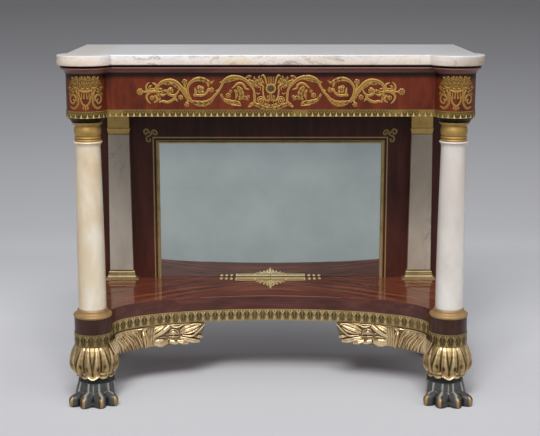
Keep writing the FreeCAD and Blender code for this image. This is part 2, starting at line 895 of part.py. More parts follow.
def make_pilaster(side, sign):
    """A flat stone pilaster on the back, with a gilt block and neck above and a spreading gilt base."""
    x = sign * cell.pilaster_x
    front = panel_face - cell.pilaster_thick
    half_top, half_foot = cell.pilaster_top_width / 2, cell.pilaster_foot_width / 2
    shaft = [
        (-half_foot, cell.pilaster_foot),
        (half_foot, cell.pilaster_foot),
        (half_top, cell.pilaster_head),
        (-half_top, cell.pilaster_head),
    ]
    keep(upright(f"pilaster_shaft_{side}", shaft, front, panel_face, x), f"pilaster_shaft_{side}")

    neck_top = cell.pilaster_head + cell.pilaster_neck_height
    half_neck, half_cap = cell.pilaster_neck_width / 2, cell.pilaster_cap_width / 2
    cap = [
        (-half_top, cell.pilaster_head),
        (half_top, cell.pilaster_head),
        (half_neck, neck_top - 6),
        (half_neck, neck_top),
        (half_cap, neck_top),
        (half_cap, cell.frieze_bottom),
        (-half_cap, cell.frieze_bottom),
        (-half_cap, neck_top),
        (-half_neck, neck_top),
        (-half_neck, neck_top - 6),
    ]
    keep(upright(f"pilaster_capital_{side}", cap, front, panel_face, x), f"pilaster_capital_{side}")

    half_base, half_torus = cell.pilaster_base_width / 2, cell.pilaster_torus_width / 2
    torus_foot = cell.pilaster_foot - cell.pilaster_torus_height
    base = [
        (-half_base, board_bottom),
        (half_base, board_bottom),
        (half_base, cell.shelf_top + 4, 26.0, 1),
        (half_torus, torus_foot),
        (half_torus, cell.pilaster_foot),
        (-half_torus, cell.pilaster_foot),
        (-half_torus, torus_foot, 26.0, 1),
        (-half_base, cell.shelf_top + 4),
    ]
    base_front = panel_face - cell.pilaster_base_thick
    keep(upright(f"pilaster_base_{side}", base, base_front, panel_face, x), f"pilaster_base_{side}")


# ---------------------------------------------------------------- feet and brackets


def ellipsoid(name, half_x, half_y, half_z, x, y, z, turn=0.0):
    """An egg-shaped solid, turned about its own upright axis."""
    made = doc.addObject("Part::Ellipsoid", name)
    made.setExpression("Radius1", size(half_z).text)
    made.setExpression("Radius2", size(half_x).text)
    made.setExpression("Radius3", size(half_y).text)
    made.Placement = Placement(Vector(), Rotation(Vector(0, 0, 1), turn))
    return place(made, x, y, z)


def make_front_foot(side, sign):
    """A carved knee under the drum, a lion's paw under the knee, and four claws."""
    x, y = sign * cell.column_x, cell.column_y
    knee = [
        (0, cell.knee_bottom),
        (cell.knee_hem_radius, cell.knee_bottom, 40.0, -1),
        (cell.knee_radius, cell.knee_widest, 75.0, -1),
        (cell.plinth_radius, cell.plinth_bottom),
        (0, cell.plinth_bottom),
    ]
    knee_body = keep(turned(f"knee_{side}", knee, x, y), f"knee_{side}")

    half_spread = Size(SIZES["toe_spread"] / 2, "(Sizes.toe_spread / 2 * 1 deg)")
    claw_reach = (cell.paw_reach - cell.claw_half_length) / cosine(half_spread)
    toe_reach = cell.paw_reach - cell.toe_half_length - cell.claw_proud
    toes, claws, claw_tools = [], [], []
    for toe in range(4):
        turn = Size(
            SIZES["toe_spread"] * (toe - 1.5) - sign * SIZES["foot_turn"],
            f"(Sizes.toe_spread * {toe - 1.5} - {sign} * Sizes.foot_turn)",
        )
        angle = Size(turn.value, f"{turn.text} * 1 deg")
        toe_x = x + toe_reach * sine(angle)
        toe_y = y - toe_reach * cosine(angle)
        claw_x = x + claw_reach * sine(angle)
        claw_y = y - claw_reach * cosine(angle)
        toes.append(
            ellipsoid(
                f"toe_{side}_{toe}",
                cell.toe_half_width,
                cell.toe_half_length,
                cell.toe_half_height,
                toe_x,
                toe_y,
                cell.toe_middle,
                turn.value,
            )
        )
        for group, name in ((claws, "claw"), (claw_tools, "claw_space")):
            group.append(
                ellipsoid(
                    f"{name}_{side}_{toe}",
                    cell.claw_half_width,
                    cell.claw_half_length,
                    cell.claw_half_height,
                    claw_x,
                    claw_y,
                    cell.claw_middle,
                    turn.value,
                )
            )
    keep(together(f"claws_{side}", claws), f"claws_{side}")

    ankle = doc.addObject("Part::Cone", f"ankle_{side}")
    ankle.setExpression("Radius1", cell.paw_radius.text)
    ankle.setExpression("Radius2", cell.ankle_radius.text)
    ankle.setExpression("Height", cell.knee_bottom.text)
    place(ankle, x, y, 0)
    reach = 2 * MARGIN
    under = bar(f"under_floor_{side}", x - reach, x + reach, y - reach, y + reach, -MARGIN, 0)
    paw = joined(f"paw_whole_{side}", ankle, *toes)
    keep(cut(f"paw_{side}", paw, under, *claw_tools), f"paw_{side}")
    return knee_body


def make_wing(side, sign, knee_body):
    """A carved bracket that grows out of the knee and follows the shelf's hollow to a leaf tip."""
    band = hollow_band(
        f"wing_band_{side}",
        -cell.wing_proud,
        cell.wing_thick - cell.wing_proud,
        cell.wing_bottom,
        cell.shelf_bottom,
    )
    outline = [
        (sign * cell.wing_tip_x, cell.shelf_bottom),
        (sign * (cell.wing_tip_x + cell.wing_tip_slant), cell.wing_bottom),
        (sign * cell.wing_root_x, cell.wing_bottom),
        (sign * cell.wing_root_x, cell.shelf_bottom),
    ]
    front = curve_y - MARGIN
    view = upright(f"wing_view_{side}", outline, front, panel_face)
    piece = doc.addObject("Part::Common", f"wing_blank_{side}")
    piece.Base = band
    piece.Tool = view
    x = sign * cell.column_x
    wrap_radius = cell.plinth_radius + cell.border_thick
    drum = rod(f"wing_drum_{side}", wrap_radius, x, cell.column_y, cell.plinth_bottom, plinth_top)
    keep(cut(f"wing_{side}", piece, knee_body, drum), f"wing_{side}")


def make_rear_foot(side, sign):
    """A plain turned foot in the shadow under each back corner."""
    radius = cell.rear_foot_radius
    neck = cell.rear_neck_radius
    block_low = cell.rear_block_bottom
    outline = [
        (0, 0),
        (neck, 0),
        (radius, cell.rear_ball_top / 2),
        (neck, cell.rear_ball_top),
        (neck, block_low),
        (radius, block_low),
        (radius, cell.shelf_bottom),
        (0, cell.shelf_bottom),
    ]
    x = sign * (cell.side_x - radius)
    keep(turned(f"rear_foot_{side}", outline, x, cell.back_y - radius), f"rear_foot_{side}")


# ---------------------------------------------------------------- the whole table

make_marble_top()
make_sub_top()
make_cornice()
make_frieze()
make_frieze_borders()
make_inner_blocks()
for side, sign in SIDES:
    make_column(side, sign)
keep(together("plinth_borders", [make_plinth_border(side, sign) for side, sign in SIDES]), "plinth_borders")
make_tie_rods()
make_shelf()
make_back(make_stringing())
make_mirror()
make_curls()
for side, sign in SIDES:
    make_pilaster(side, sign)
for side, sign in SIDES:
    knee_body = make_front_foot(side, sign)
    make_wing(side, sign, knee_body)
    make_rear_foot(side, sign)

doc.recompute()

os.makedirs("parts", exist_ok=True)
for made in doc.Objects:
    if "Invalid" in made.State or "Error" in made.State:
        raise RuntimeError(f"{made.Name} did not build: {made.State}")
for piece in kept:
    if piece.Shape.isNull() or not piece.Shape.isValid():
        raise RuntimeError(f"{piece.Label} has no valid shape")
    piece.Shape.exportStep(f"parts/{piece.Label}.step")
    box = piece.Shape.BoundBox
    print(
        f"{piece.Label:24s} solids {len(piece.Shape.Solids)}  volume {piece.Shape.Volume / 1000:9.1f} cm3"
        f"  x {box.XMin:7.1f} {box.XMax:7.1f}  y {box.YMin:7.1f} {box.YMax:7.1f}"
        f"  z {box.ZMin:6.1f} {box.ZMax:6.1f}"
    )
print(len(kept), "nodes")
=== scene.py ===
# %% [markdown]
# # A pier table in Blender
# A pier table stands against the wall between two windows. This one has a marble top on two stone
# columns, a mirror at the back that makes the room look deeper, a shelf with a hollow front, and lion's
# paws under carved and gilded knees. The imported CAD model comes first, because it holds every size:
# pieces that are only boxes and rails keep their CAD shape and get a finish, and turned, stamped, carved
# and stencilled pieces are worked out here as surfaces that stand exactly where the CAD pieces stand.

# %% Load the frame
import math

import bmesh
import bpy
import numpy as np
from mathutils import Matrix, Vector


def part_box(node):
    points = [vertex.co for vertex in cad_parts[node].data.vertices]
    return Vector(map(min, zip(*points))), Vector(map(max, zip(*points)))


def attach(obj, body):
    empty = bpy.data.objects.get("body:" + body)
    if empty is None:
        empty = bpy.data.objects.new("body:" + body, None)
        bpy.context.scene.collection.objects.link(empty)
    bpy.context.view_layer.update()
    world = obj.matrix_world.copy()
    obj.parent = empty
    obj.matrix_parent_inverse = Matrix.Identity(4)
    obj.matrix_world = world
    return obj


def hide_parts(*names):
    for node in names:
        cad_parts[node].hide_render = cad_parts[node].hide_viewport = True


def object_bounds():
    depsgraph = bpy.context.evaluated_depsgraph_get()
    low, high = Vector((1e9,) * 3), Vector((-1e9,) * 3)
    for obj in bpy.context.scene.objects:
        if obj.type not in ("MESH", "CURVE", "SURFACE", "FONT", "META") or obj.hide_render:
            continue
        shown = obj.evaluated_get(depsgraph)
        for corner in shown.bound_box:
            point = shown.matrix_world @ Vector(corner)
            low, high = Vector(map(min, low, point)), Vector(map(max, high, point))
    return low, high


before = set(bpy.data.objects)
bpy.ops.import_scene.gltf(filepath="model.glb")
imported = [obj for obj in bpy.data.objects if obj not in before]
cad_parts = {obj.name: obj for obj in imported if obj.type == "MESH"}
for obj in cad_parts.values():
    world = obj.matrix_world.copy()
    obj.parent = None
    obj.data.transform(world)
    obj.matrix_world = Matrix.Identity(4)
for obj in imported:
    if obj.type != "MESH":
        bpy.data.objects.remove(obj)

CAD_LOW, CAD_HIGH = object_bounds()
MM = 0.001
SIDES = (("left", -1), ("right", 1))
print("CAD box in mm:", [round(v / MM) for v in CAD_HIGH - CAD_LOW])

# %% [markdown]
# ## Sizes read from the frame
# A size that the CAD model knows is read from its box, so the two can't drift apart. Lengths from here
# on are in millimetres, and the mesh maker turns them into metres at the end.

# %% Sizes
def box_mm(name):
    """Lowest and highest corner of a CAD node, in millimetres."""
    low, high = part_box(name)
    return np.array(low) / MM, np.array(high) / MM


shaft_low, shaft_high = box_mm("column_shaft_right")
COLUMN_X, COLUMN_Y = (shaft_low[:2] + shaft_high[:2]) / 2
SHAFT_FOOT, SHAFT_HEAD = shaft_low[2], shaft_high[2]
FRIEZE_FACE, FRIEZE_FOOT = box_mm("frieze_rail_front")[0][1:]
SIDE_FACE = box_mm("frieze_rail_right")[1][0]
DRUM_RADIUS = (box_mm("frieze_drum_right")[1] - box_mm("frieze_drum_right")[0])[0] / 2
SHELF_FOOT, SHELF_TOP = (corner[2] for corner in box_mm("shelf_fascia"))
hollow_low, hollow_high = box_mm("shelf_border")
HOLLOW_HALF, HOLLOW_Y, HOLLOW_DEPTH = hollow_high[0], hollow_low[1], hollow_high[1] - hollow_low[1]
PANEL_FACE = box_mm("back_stile_left")[0][1]
print("column axis", round(COLUMN_X, 1), round(COLUMN_Y, 1), "side of the frieze", round(SIDE_FACE, 1))
print("shelf hollow: half width", round(HOLLOW_HALF, 1), "depth", round(HOLLOW_DEPTH, 1))

# %% [markdown]
# ## Meshes from arrays
# A surface here is a grid of points: one direction runs along the piece and the other round its section.
# numpy works out all the points at once, and the faces join each point to its neighbours.

# %% Faces of a grid
def grid_faces(rows, columns, closed=False):
    """Quads between neighbouring points of a rows x columns grid. Closed, each row is a loop."""
    across = columns if closed else columns - 1
    row, column = np.meshgrid(np.arange(rows - 1), np.arange(across), indexing="ij")
    beside = (column + 1) % columns
    corners = [
        row * columns + column,
        row * columns + beside,
        (row + 1) * columns + beside,
        (row + 1) * columns + column,
    ]
    return np.stack(corners, axis=-1).reshape(-1, 4).tolist()


print("faces of a grid of 3 x 4 points:", len(grid_faces(3, 4)), "and closed:", len(grid_faces(3, 4, True)))

# %% Closed solids
def tube(points, hollow=None):
    """A closed solid from points[section, round, xyz]: the section is a loop, and each end is capped.

    hollow is a number per point, 0 on a proud place and 1 at the bottom of a cut. On carvings it also carries
    painted shade and painted highlights. The gilding reads it.
    """
    sections, around = points.shape[:2]
    faces = grid_faces(sections, around, closed=True)
    faces.append(list(range(around)))
    faces.append(list(range(sections * around - 1, (sections - 1) * around - 1, -1)))
    shade = np.zeros((sections, around)) if hollow is None else hollow
    return points.reshape(-1, 3), faces, shade.reshape(-1)


print("a tube of 5 sections of 8 points has", len(tube(np.zeros((5, 8, 3)))[1]), "faces")

# %% [markdown]
# Several solids may make one piece, as the leaves of a carving do. After they are joined, points that fall
# together (the pole of a turned piece, the tip of a leaf) are merged, and the faces are turned outwards.
# An arris is a fine rounded corner, a fraction of a millimetre wide, which catches a thread of light.

# %% Pieces
def make_piece(name, solids, material, replaces=(), sharp=35, arris=0.0):
    """Joins solids (points in mm, faces, hollow) into one object that rides on the table.

    Edges sharper than the angle sharp, in degrees, are shaded as edges, and get the arris if there is one.
    """
    points, faces, hollow, start = [], [], [], 0
    for solid_points, solid_faces, solid_hollow in solids:
        points.append(solid_points * MM)
        faces += [[index + start for index in face] for face in solid_faces]
        hollow.append(solid_hollow)
        start += len(solid_points)
    mesh = bpy.data.meshes.new(name)
    mesh.from_pydata(np.concatenate(points).tolist(), [], faces)
    stored = mesh.attributes.new("hollow", "FLOAT", "POINT")
    stored.data.foreach_set("value", np.concatenate(hollow).astype(np.float32))
    work = bmesh.new()
    work.from_mesh(mesh)
    bmesh.ops.remove_doubles(work, verts=work.verts, dist=2e-6)
    bmesh.ops.recalc_face_normals(work, faces=work.faces)
    work.to_mesh(mesh)
    work.free()
    mesh.shade_smooth()
    mesh.set_sharp_from_angle(angle=math.radians(sharp))
    mesh.materials.append(material)
    piece = bpy.data.objects.new(name, mesh)
    bpy.context.scene.collection.objects.link(piece)
    if arris:
        bevel = piece.modifiers.new("arris", "BEVEL")
        bevel.width, bevel.segments, bevel.limit_method = arris * MM, 2, "ANGLE"
        bevel.angle_limit = math.radians(sharp)
        bevel.harden_normals = True
    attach(piece, "root")
    if replaces:
        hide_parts(*replaces)
    print(f"{name}: {len(mesh.polygons)} faces")


# %% [markdown]
# ## Colours and nodes
# Colours are picked as they look on a screen, as hex values, and Blender works in linear light, so one
# function turns one into the other. Another adds a node with its settings and its links in one line.

# %% Colour
def linear(hex_colour):
    """sRGB hex to linear light: c/12.92 under 0.04045, else ((c + 0.055)/1.055)^2.4."""
    channels = np.array([int(hex_colour[i : i + 2], 16) for i in (0, 2, 4)]) / 255
    low, high = channels / 12.92, ((channels + 0.055) / 1.055) ** 2.4
    return (*np.where(channels < 0.04045, low, high).tolist(), 1.0)


print("middle grey 808080 in linear light:", round(linear("808080")[0], 3))

# %% Nodes
def add(tree, kind, inputs=None, out=0, stops=(), **settings):
    """Adds a node and returns its output out, by number or name.

    inputs gives each socket a number, a hex colour or another node's output. settings are the node's own
    properties, and stops are the (position, hex) marks of a colour ramp.
    """
    made = tree.nodes.new("ShaderNode" + kind)
    for name, value in settings.items():
        setattr(made, name, value)
    for name, value in (inputs or {}).items():
        if isinstance(value, bpy.types.NodeSocket):
            tree.links.new(value, made.inputs[name])
        else:
            made.inputs[name].default_value = linear(value) if isinstance(value, str) else value
    if stops:
        marks = made.color_ramp.elements
        while len(marks) < len(stops):
            marks.new(0.5)
        for mark, (position, colour) in zip(marks, stops):
            mark.position, mark.color = position, linear(colour)
    return made.outputs[out]


print("a ramp's marks are screen colours, such as 808080, stored as", round(linear("808080")[0], 3))

# %% [markdown]
# A finish starts as one shader with the numbers that hold all over the surface, and ends when a colour and,
# if the surface has one, a relief are linked to it.

# %% Start and end of a finish
def finish(name, roughness, metallic=0.0, coat=0.0, coat_roughness=0.1, specular=0.5):
    """A new material with its shader."""
    material = bpy.data.materials.new(name)
    material.use_nodes = True
    shader = material.node_tree.nodes["Principled BSDF"]
    shader.inputs["Roughness"].default_value = roughness
    shader.inputs["Metallic"].default_value = metallic
    shader.inputs["Coat Weight"].default_value = coat
    shader.inputs["Coat Roughness"].default_value = coat_roughness
    shader.inputs["Specular IOR Level"].default_value = specular
    return material, material.node_tree, shader


def cover(tree, shader, colour, relief=None, deep_mm=0.0, strength=1.0):
    """Gives the shader its colour, and a relief whose height from 0 to 1 is deep_mm in real millimetres."""
    tree.links.new(colour, shader.inputs["Base Color"])
    if relief is not None:
        normal = add(tree, "Bump", {"Height": relief, "Distance": deep_mm * MM, "Strength": strength})
        tree.links.new(normal, shader.inputs["Normal"])


print("a finish has a colour, a roughness and a coat, and some have a relief")

# %% [markdown]
# Natural surfaces are never even, so most patterns start from a noise. Its size is given in real
# millimetres. From it come masks, numbers from 0 to 1 that say where something shows, and coats lay one
# colour over another where a mask says so, as a painter glazes.

# %% Patterns
def grain(tree, stretch=(1.0, 1.0, 1.0), turn=(0.0, 0.0, 0.0)):
    """Object coordinates, turned and then stretched, so that a pattern runs along the piece."""
    place = add(tree, "TexCoord", out="Object")
    return add(tree, "Mapping", {"Vector": place, "Rotation": turn, "Scale": stretch})


def drift(space, size_mm, detail=4.0, roughness=0.55, distortion=0.0):
    """Inputs of a noise whose patches are size_mm across. A light and a dark patch make one cell."""
    inputs = {"Vector": space, "Scale": 1000 / (2 * size_mm)}
    return inputs | {"Detail": detail, "Roughness": roughness, "Distortion": distortion}


def patches(tree, inputs, low, high, strength=1.0):
    """A mask of patches: 0 where the noise is under low, strength where it is over high."""
    field = add(tree, "TexNoise", inputs)
    return add(tree, "MapRange", {"Value": field, "From Min": low, "From Max": high, "To Max": strength})


def clouded(tree, inputs, stops):
    """Colour that drifts through the stops as the noise does."""
    return add(tree, "ValToRGB", {"Fac": add(tree, "TexNoise", inputs)}, stops=stops)


def along(tree, axis, start, end, strength=1.0):
    """A mask along an axis, in metres: 0 up to start, strength from end on."""
    place = add(tree, "TexCoord", out="Object")
    value = add(tree, "SeparateXYZ", {"Vector": place}, axis)
    return add(tree, "MapRange", {"Value": value, "From Min": start, "From Max": end, "To Max": strength})


def product(tree, *masks):
    """Masks multiplied together: the result shows only where all of them do."""
    result = masks[0]
    for mask in masks[1:]:
        result = add(tree, "Math", {0: result, 1: mask}, operation="MULTIPLY")
    return result


def coats(tree, ground, *layers):
    """Lays (mask, colour) or (mask, colour, blend) layers over a ground colour, in their order."""
    for mask, colour, *blend in layers:
        sockets = {0: mask, 6: ground, 7: colour}
        ground = add(tree, "Mix", sockets, 2, data_type="RGBA", blend_type=blend[0] if blend else "MIX")
    return ground


print("scale of a noise with 5 mm patches:", drift(None, 5.0)["Scale"])

# %% [markdown]
# ## Stone
# The top is white statuary marble: nearly white calcite, with smoky grey patches and veins that wander and
# fade. They show on the edge and hardly on the upper face, which keeps a plain cool grey: painted shade and a
# painted reflection of the grey room, where the face lies flat under the lamps. A vein is the thin line where
# a noise crosses its middle value, so |noise - 0.5| is small on it. A second, slower noise lets the vein fade
# in and out, and a third clouds the ground.

# %% Statuary marble
TABLE_TOP = CAD_HIGH[2]


def veins(tree, inputs, width):
    """1 on the thin line where a noise passes its middle value, falling to 0 at width from it."""
    away = add(tree, "Math", {0: add(tree, "TexNoise", inputs), 1: 0.5}, operation="SUBTRACT")
    away = add(tree, "Math", {0: away}, operation="ABSOLUTE")
    return add(tree, "MapRange", {"Value": away, "From Min": width, "From Max": 0.0})


def statuary_marble():
    """White marble, sawn, honed and polished. The polish has gone a little soft with use.

    The veins show fully on the edge. The right end is browner, and the left turret is warm. The upper face
    keeps a plain cool grey, painted shade and a painted reflection, and the edge is painted darker and warmer
    towards its foot as painted shade.
    """
    material, tree, shader = finish("statuary_marble", 0.32, coat=0.12, coat_roughness=0.2)
    space = grain(tree, (1.0, 1.0, 2.2), (0.0, 0.25, 0.3))
    whites = [(0.34, "E3DDDA"), (0.46, "EEE7E2"), (0.58, "F0E7DD"), (0.7, "EAD9C0")]
    ground = clouded(tree, drift(space, 71.4, 5.0), whites)
    smoke = patches(tree, drift(space, 31.25, 6.0, 0.6, 0.6), 0.60, 0.78)
    fading = patches(tree, drift(space, 55.6, 2.0), 0.45, 0.6)
    wander = product(tree, veins(tree, drift(space, 83.3, 5.0, 0.6, 1.6), 0.045), fading)
    bold = add(tree, "Math", {0: wander, 1: smoke}, operation="MAXIMUM")
    fine = veins(tree, drift(space, 33.3, 5.0, 0.6, 2.4), 0.03)
    # edge is 1 on the slab's edge and 0 on its upper face, which keeps the plain cool grey DDDDE0 as painted
    # shade and a painted reflection
    edge = along(tree, "Z", TABLE_TOP - 0.0003, TABLE_TOP - 0.004)
    shown = add(tree, "Math", {0: edge, 1: 0.6, 2: 0.12}, operation="MULTIPLY_ADD")
    colour = coats(
        tree,
        "DDDDE0",
        (edge, ground),
        (product(tree, bold, shown), "8F8A92"),
        (product(tree, fine, shown, 0.45), "A6A0A4"),
        (product(tree, along(tree, "X", 0.43, 0.50), shown), "B3A596"),
        (along(tree, "X", -0.40, -0.47), "FAF3EA", "MULTIPLY"),
        (along(tree, "X", -0.3, 0.1), "F3F2F0", "MULTIPLY"),
        # painted shade: the edge is multiplied darker and warmer towards its foot, where less light comes
        # round the eased arris
        (along(tree, "Z", TABLE_TOP - 0.006, TABLE_TOP - 0.024), "F5EAE2", "MULTIPLY"),
    )
    cover(tree, shader, colour)
    return material


MARBLE = statuary_marble()
print("finish of the slab:", MARBLE.name)

# %% [markdown]
# The columns are alabaster, which is softer than marble and lets a little light in. It is cloudy, with
# hardly a line. One shaft was cut from a warmer block than the other, so the colour follows X.

# %% Alabaster
def honey_alabaster():
    """Alabaster, turned and polished with wax. Light enters it a few millimetres, so its shading is soft."""
    material, tree, shader = finish("honey_alabaster", 0.26, coat=0.2, coat_roughness=0.12)
    cloud = drift(grain(tree, (1.0, 1.0, 0.45), (0.2, 0.1, 0.0)), 45.45, 3.0, 0.5, 0.3)
    warm = clouded(tree, cloud, [(0.34, "D3B994"), (0.5, "E1D2BA"), (0.64, "EDE7DA")])
    white = clouded(tree, cloud, [(0.34, "CFC5BE"), (0.5, "DAD2CB"), (0.64, "E6E0DA")])
    speck = patches(tree, drift(grain(tree), 8.33, 3.0), 0.60, 0.78, 0.25)
    cover(tree, shader, coats(tree, warm, (along(tree, "X", -0.1, 0.1), white), (speck, "BFA98C")))
    shader.inputs["Subsurface Weight"].default_value = 0.12
    shader.inputs["Subsurface Radius"].default_value = (0.012, 0.009, 0.006)
    shader.inputs["Subsurface Scale"].default_value = 1.0
    return material


ALABASTER = honey_alabaster()
print("finish of the columns:", ALABASTER.name)

# %% [markdown]
# The flat pilasters behind the columns are a greyer marble. They were only honed, so they are dull.

# %% Grey marble
def grey_marble():
    """Grey-white marble, sawn and honed, with a few faint veins."""
    material, tree, shader = finish("grey_marble", 0.3, coat=0.15, coat_roughness=0.15)
    space = grain(tree, (1.0, 1.0, 0.5), (0.0, 0.4, 0.0))
    ground = clouded(tree, drift(space, 35.7, 5.0), [(0.3, "B9AEA0"), (0.55, "CCC0B1"), (0.75, "D8CDBE")])
    fading = patches(tree, drift(space, 45.45, 2.0), 0.5, 0.7)
    line = product(tree, veins(tree, drift(space, 55.6, 5.0, 0.6, 1.8), 0.03), fading)
    # painted shade: the right pilaster is multiplied darker by EDE9E4, for the dimmer light on that side
    right = along(tree, "X", -0.1, 0.1)
    cover(tree, shader, coats(tree, ground, (right, "EDE9E4", "MULTIPLY"), (line, "948C86")))
    return material


GREY_MARBLE = grey_marble()
print("finish of the pilasters:", GREY_MARBLE.name)

# %% [markdown]
# ## Mahogany
# The carcase is pine under mahogany veneer, stained and French polished. Two things make mahogany look like
# itself: slow dark and light streaks along the grain, and fine pores, short dark dashes about 0.3 mm wide.
# The pores are drawn twice as coarse as they are, so that they still show from across a room. The shelf
# wears a flame figure: two mirrored leaves of veneer from a branch fork meet at the middle, so the
# streaks run out from the centre line like a feather.

# %% Mahogany veneer
PORE_MM = 0.6


def feather(tree, stretch):
    """Coordinates for a flame figure: mirrored at x = 0, with streaks that lean by 0.8 |x|^1.6."""
    place = add(tree, "TexCoord", out="Object")
    x, y, z = (add(tree, "SeparateXYZ", {"Vector": place}, axis) for axis in "XYZ")
    side = add(tree, "Math", {0: x}, operation="ABSOLUTE")
    lean = add(tree, "Math", {0: side, 1: 1.6}, operation="POWER")
    y = add(tree, "Math", {0: lean, 1: 0.8, 2: y}, operation="MULTIPLY_ADD")
    joined = add(tree, "CombineXYZ", {"X": side, "Y": y, "Z": z})
    return add(tree, "Mapping", {"Vector": joined, "Scale": stretch})


def mahogany(name, stops, axis, polish, streak_mm=14.0, flame=False, painted_shade_band=None, shine=0.3, gloss=0.12,
             pull=0.12, painted_highlight_band=None):
    """Veneer whose grain runs along an axis (0, 1 or 2). stops colour the streaks from dark to light.

    The shade heights, in metres, bound a painted shade under a moulding, where the wood darkens, and the
    highlight heights bound a painted highlight on a lit fillet, where it pales. pull stretches the grain.
    rubbed gives two between which it pales, where a cloth has worn the stain. pull stretches the grain.
    """
    material, tree, shader = finish(name, 0.38, coat=polish, coat_roughness=gloss, specular=shine)
    stretch = [1.0, 1.0, 1.0]
    stretch[axis] = pull
    space = feather(tree, stretch) if flame else grain(tree, stretch)
    blotch = patches(tree, drift(grain(tree), 55.6, 3.0), 0.42, 0.7, 0.35)
    pores = patches(tree, drift(space, PORE_MM, 2.0, 0.7), 0.60, 0.72)
    layers = [(blotch, stops[-1][1]), (product(tree, pores, 0.5), stops[0][1])]
    # painted shade: near-black 0E0503 between two heights, under the moulding above
    if painted_shade_band:
        layers.append((along(tree, "Z", *painted_shade_band, 0.9), "0E0503"))
    # painted highlight: pale A87C76 along the top fillet of the cornice, where the light catches it
    if painted_highlight_band:
        layers.append((along(tree, "Z", *painted_highlight_band, 0.8), "A87C76"))
    colour = coats(tree, clouded(tree, drift(space, streak_mm, 6.0, 0.62, 0.5), stops), *layers)
    cover(tree, shader, colour, pores, -0.05, 0.4)
    return material


# painted shade darkens the frieze under the cornice and the back panel under the frieze
FRIEZE_WOOD = mahogany("frieze_mahogany", [(0.32, "43190D"), (0.5, "5E2411"), (0.68, "732E18")], 2, 0.08,
                       painted_shade_band=(0.8665, 0.8755), pull=0.3)
# painted reflection: the cornice's pale grey-pink streaks stand for the sheen its polish catches from the
# room
CORNICE_WOOD = mahogany("cornice_mahogany", [(0.32, "5C342C"), (0.5, "7C4B42"), (0.68, "925E54")], 0, 0.1,
                        painted_shade_band=(0.8868, 0.8825), painted_highlight_band=(0.8945, 0.8965))
BACK_WOOD = mahogany("back_mahogany", [(0.32, "351914"), (0.5, "4D251D"), (0.68, "612F26")], 2, 0.06,
                     painted_shade_band=(0.64, 0.78))
FASCIA_WOOD = mahogany("fascia_mahogany", [(0.3, "371D18"), (0.5, "502B25"), (0.7, "643A32")], 0, 0.2, 10.0)
PLINTH_WOOD = mahogany("plinth_mahogany", [(0.3, "2A1711"), (0.5, "382018"), (0.7, "472A20")], 2, 0.12, 10.0)
SHELF_WOOD = mahogany("flame_mahogany", [(0.34, "34130B"), (0.5, "6E3220"), (0.66, "9A5A3C")], 0, 0.85, 11.0,
                      True, shine=0.2, gloss=0.07)
# a pale mahogany for the painted highlight along the shelf's front arris
ARRIS_HIGHLIGHT_WOOD = mahogany("arris_highlight_mahogany", [(0.3, "7A5048"), (0.5, "8E6258"), (0.68, "9C7468")], 0, 0.05, 10.0)
print("mahogany finishes:", FRIEZE_WOOD.name, BACK_WOOD.name, SHELF_WOOD.name)

# %% [markdown]
# ## Gilding and brass
# The turned and carved parts are water gilded: gold leaf on red clay, burnished on the high places, worn
# through on a few edges and dark in the cuts, with grime and painted shade, so the colour follows the
# "hollow" number that each carved piece carries. On the carvings that number also paints highlights on a few
# lit edges. The stamped brass and the stencilled bronze powder age in the same way, only with other colours,
# so one function makes them all.

# %% Gilding
def gilding(name, high, middle, low, roughness, leaf_mm, metallic, clay=None):
    """Gold leaf, laid and burnished. high, middle and low colour it from the tops to the cuts, with their
    grime and painted shade.

    leaf_mm is the size of its fine unevenness, and clay shows where the leaf has worn thin.
    """
    material, tree, shader = finish(name, roughness, metallic=metallic)
    space = grain(tree)
    cloth = add(tree, "TexNoise", drift(space, leaf_mm, 5.0, 0.65))
    hollow = add(tree, "Attribute", out="Fac", attribute_name="hollow")
    # the hollow number darkens the colour: grime in the cuts, and painted shade and highlights on the
    # carvings
    dirt_and_painted_light = add(tree, "Math", {0: cloth, 1: 0.25, 2: hollow}, operation="MULTIPLY_ADD")
    leaf = add(tree, "ValToRGB", {"Fac": dirt_and_painted_light}, stops=[(0.075, high), (0.375, middle), (0.975, low)])
    wear = patches(tree, drift(space, 20.0), 0.50, 0.64, 0.5)
    cover(tree, shader, coats(tree, leaf, (wear, clay or middle)), cloth, 0.12, 0.35)
    return material


TURNED_GILT = gilding("turned_gilding", "C4A060", "9A7A3C", "4A3416", 0.55, 4.0, 0.7)
CARVED_GILT = gilding("carved_gilding", "F8E2BA", "C8AB77", "584626", 0.42, 3.0, 0.9, clay="9A7C62")
STENCIL_GILT = gilding("stencil_gilding", "E2BA6A", "B68C44", "502F14", 0.5, 2.0, 0.5)
SLIP_GILT = gilding("slip_gilding", "CCB480", "9C8452", "54441E", 0.5, 3.0, 0.7)
BASE_GILT = gilding("rubbed_gilding", "C8B48A", "A08A62", "4E3E24", 0.5, 4.0, 0.85)
# CAP_GILT is a lighter copy of the gilding: painted light, making up for the frieze's shade on the pilaster
# caps
CAP_GILT = gilding("cap_gilding", "DCBA74", "BC9852", "5A4420", 0.5, 4.0, 0.5)
MATTE_GILT = gilding("matte_gilding", "B08E62", "92724A", "50391F", 0.6, 4.0, 0.5)
DRUM_GILT = gilding("drum_gilding", "CCA456", "9E7837", "402810", 0.5, 2.0, 0.5)
CLAW_GILT = gilding("claw_gilding", "CCB183", "9C7E50", "4A341E", 0.5, 4.0, 0.4)
BRIGHT_GILT = gilding("fresh_gilding", "F0DE9C", "CEB66E", "7C6434", 0.5, 2.0, 0.25)
DULL_GILT = gilding("dulled_gilding", "86764A", "5E5230", "342C18", 0.5, 2.0, 0.4)
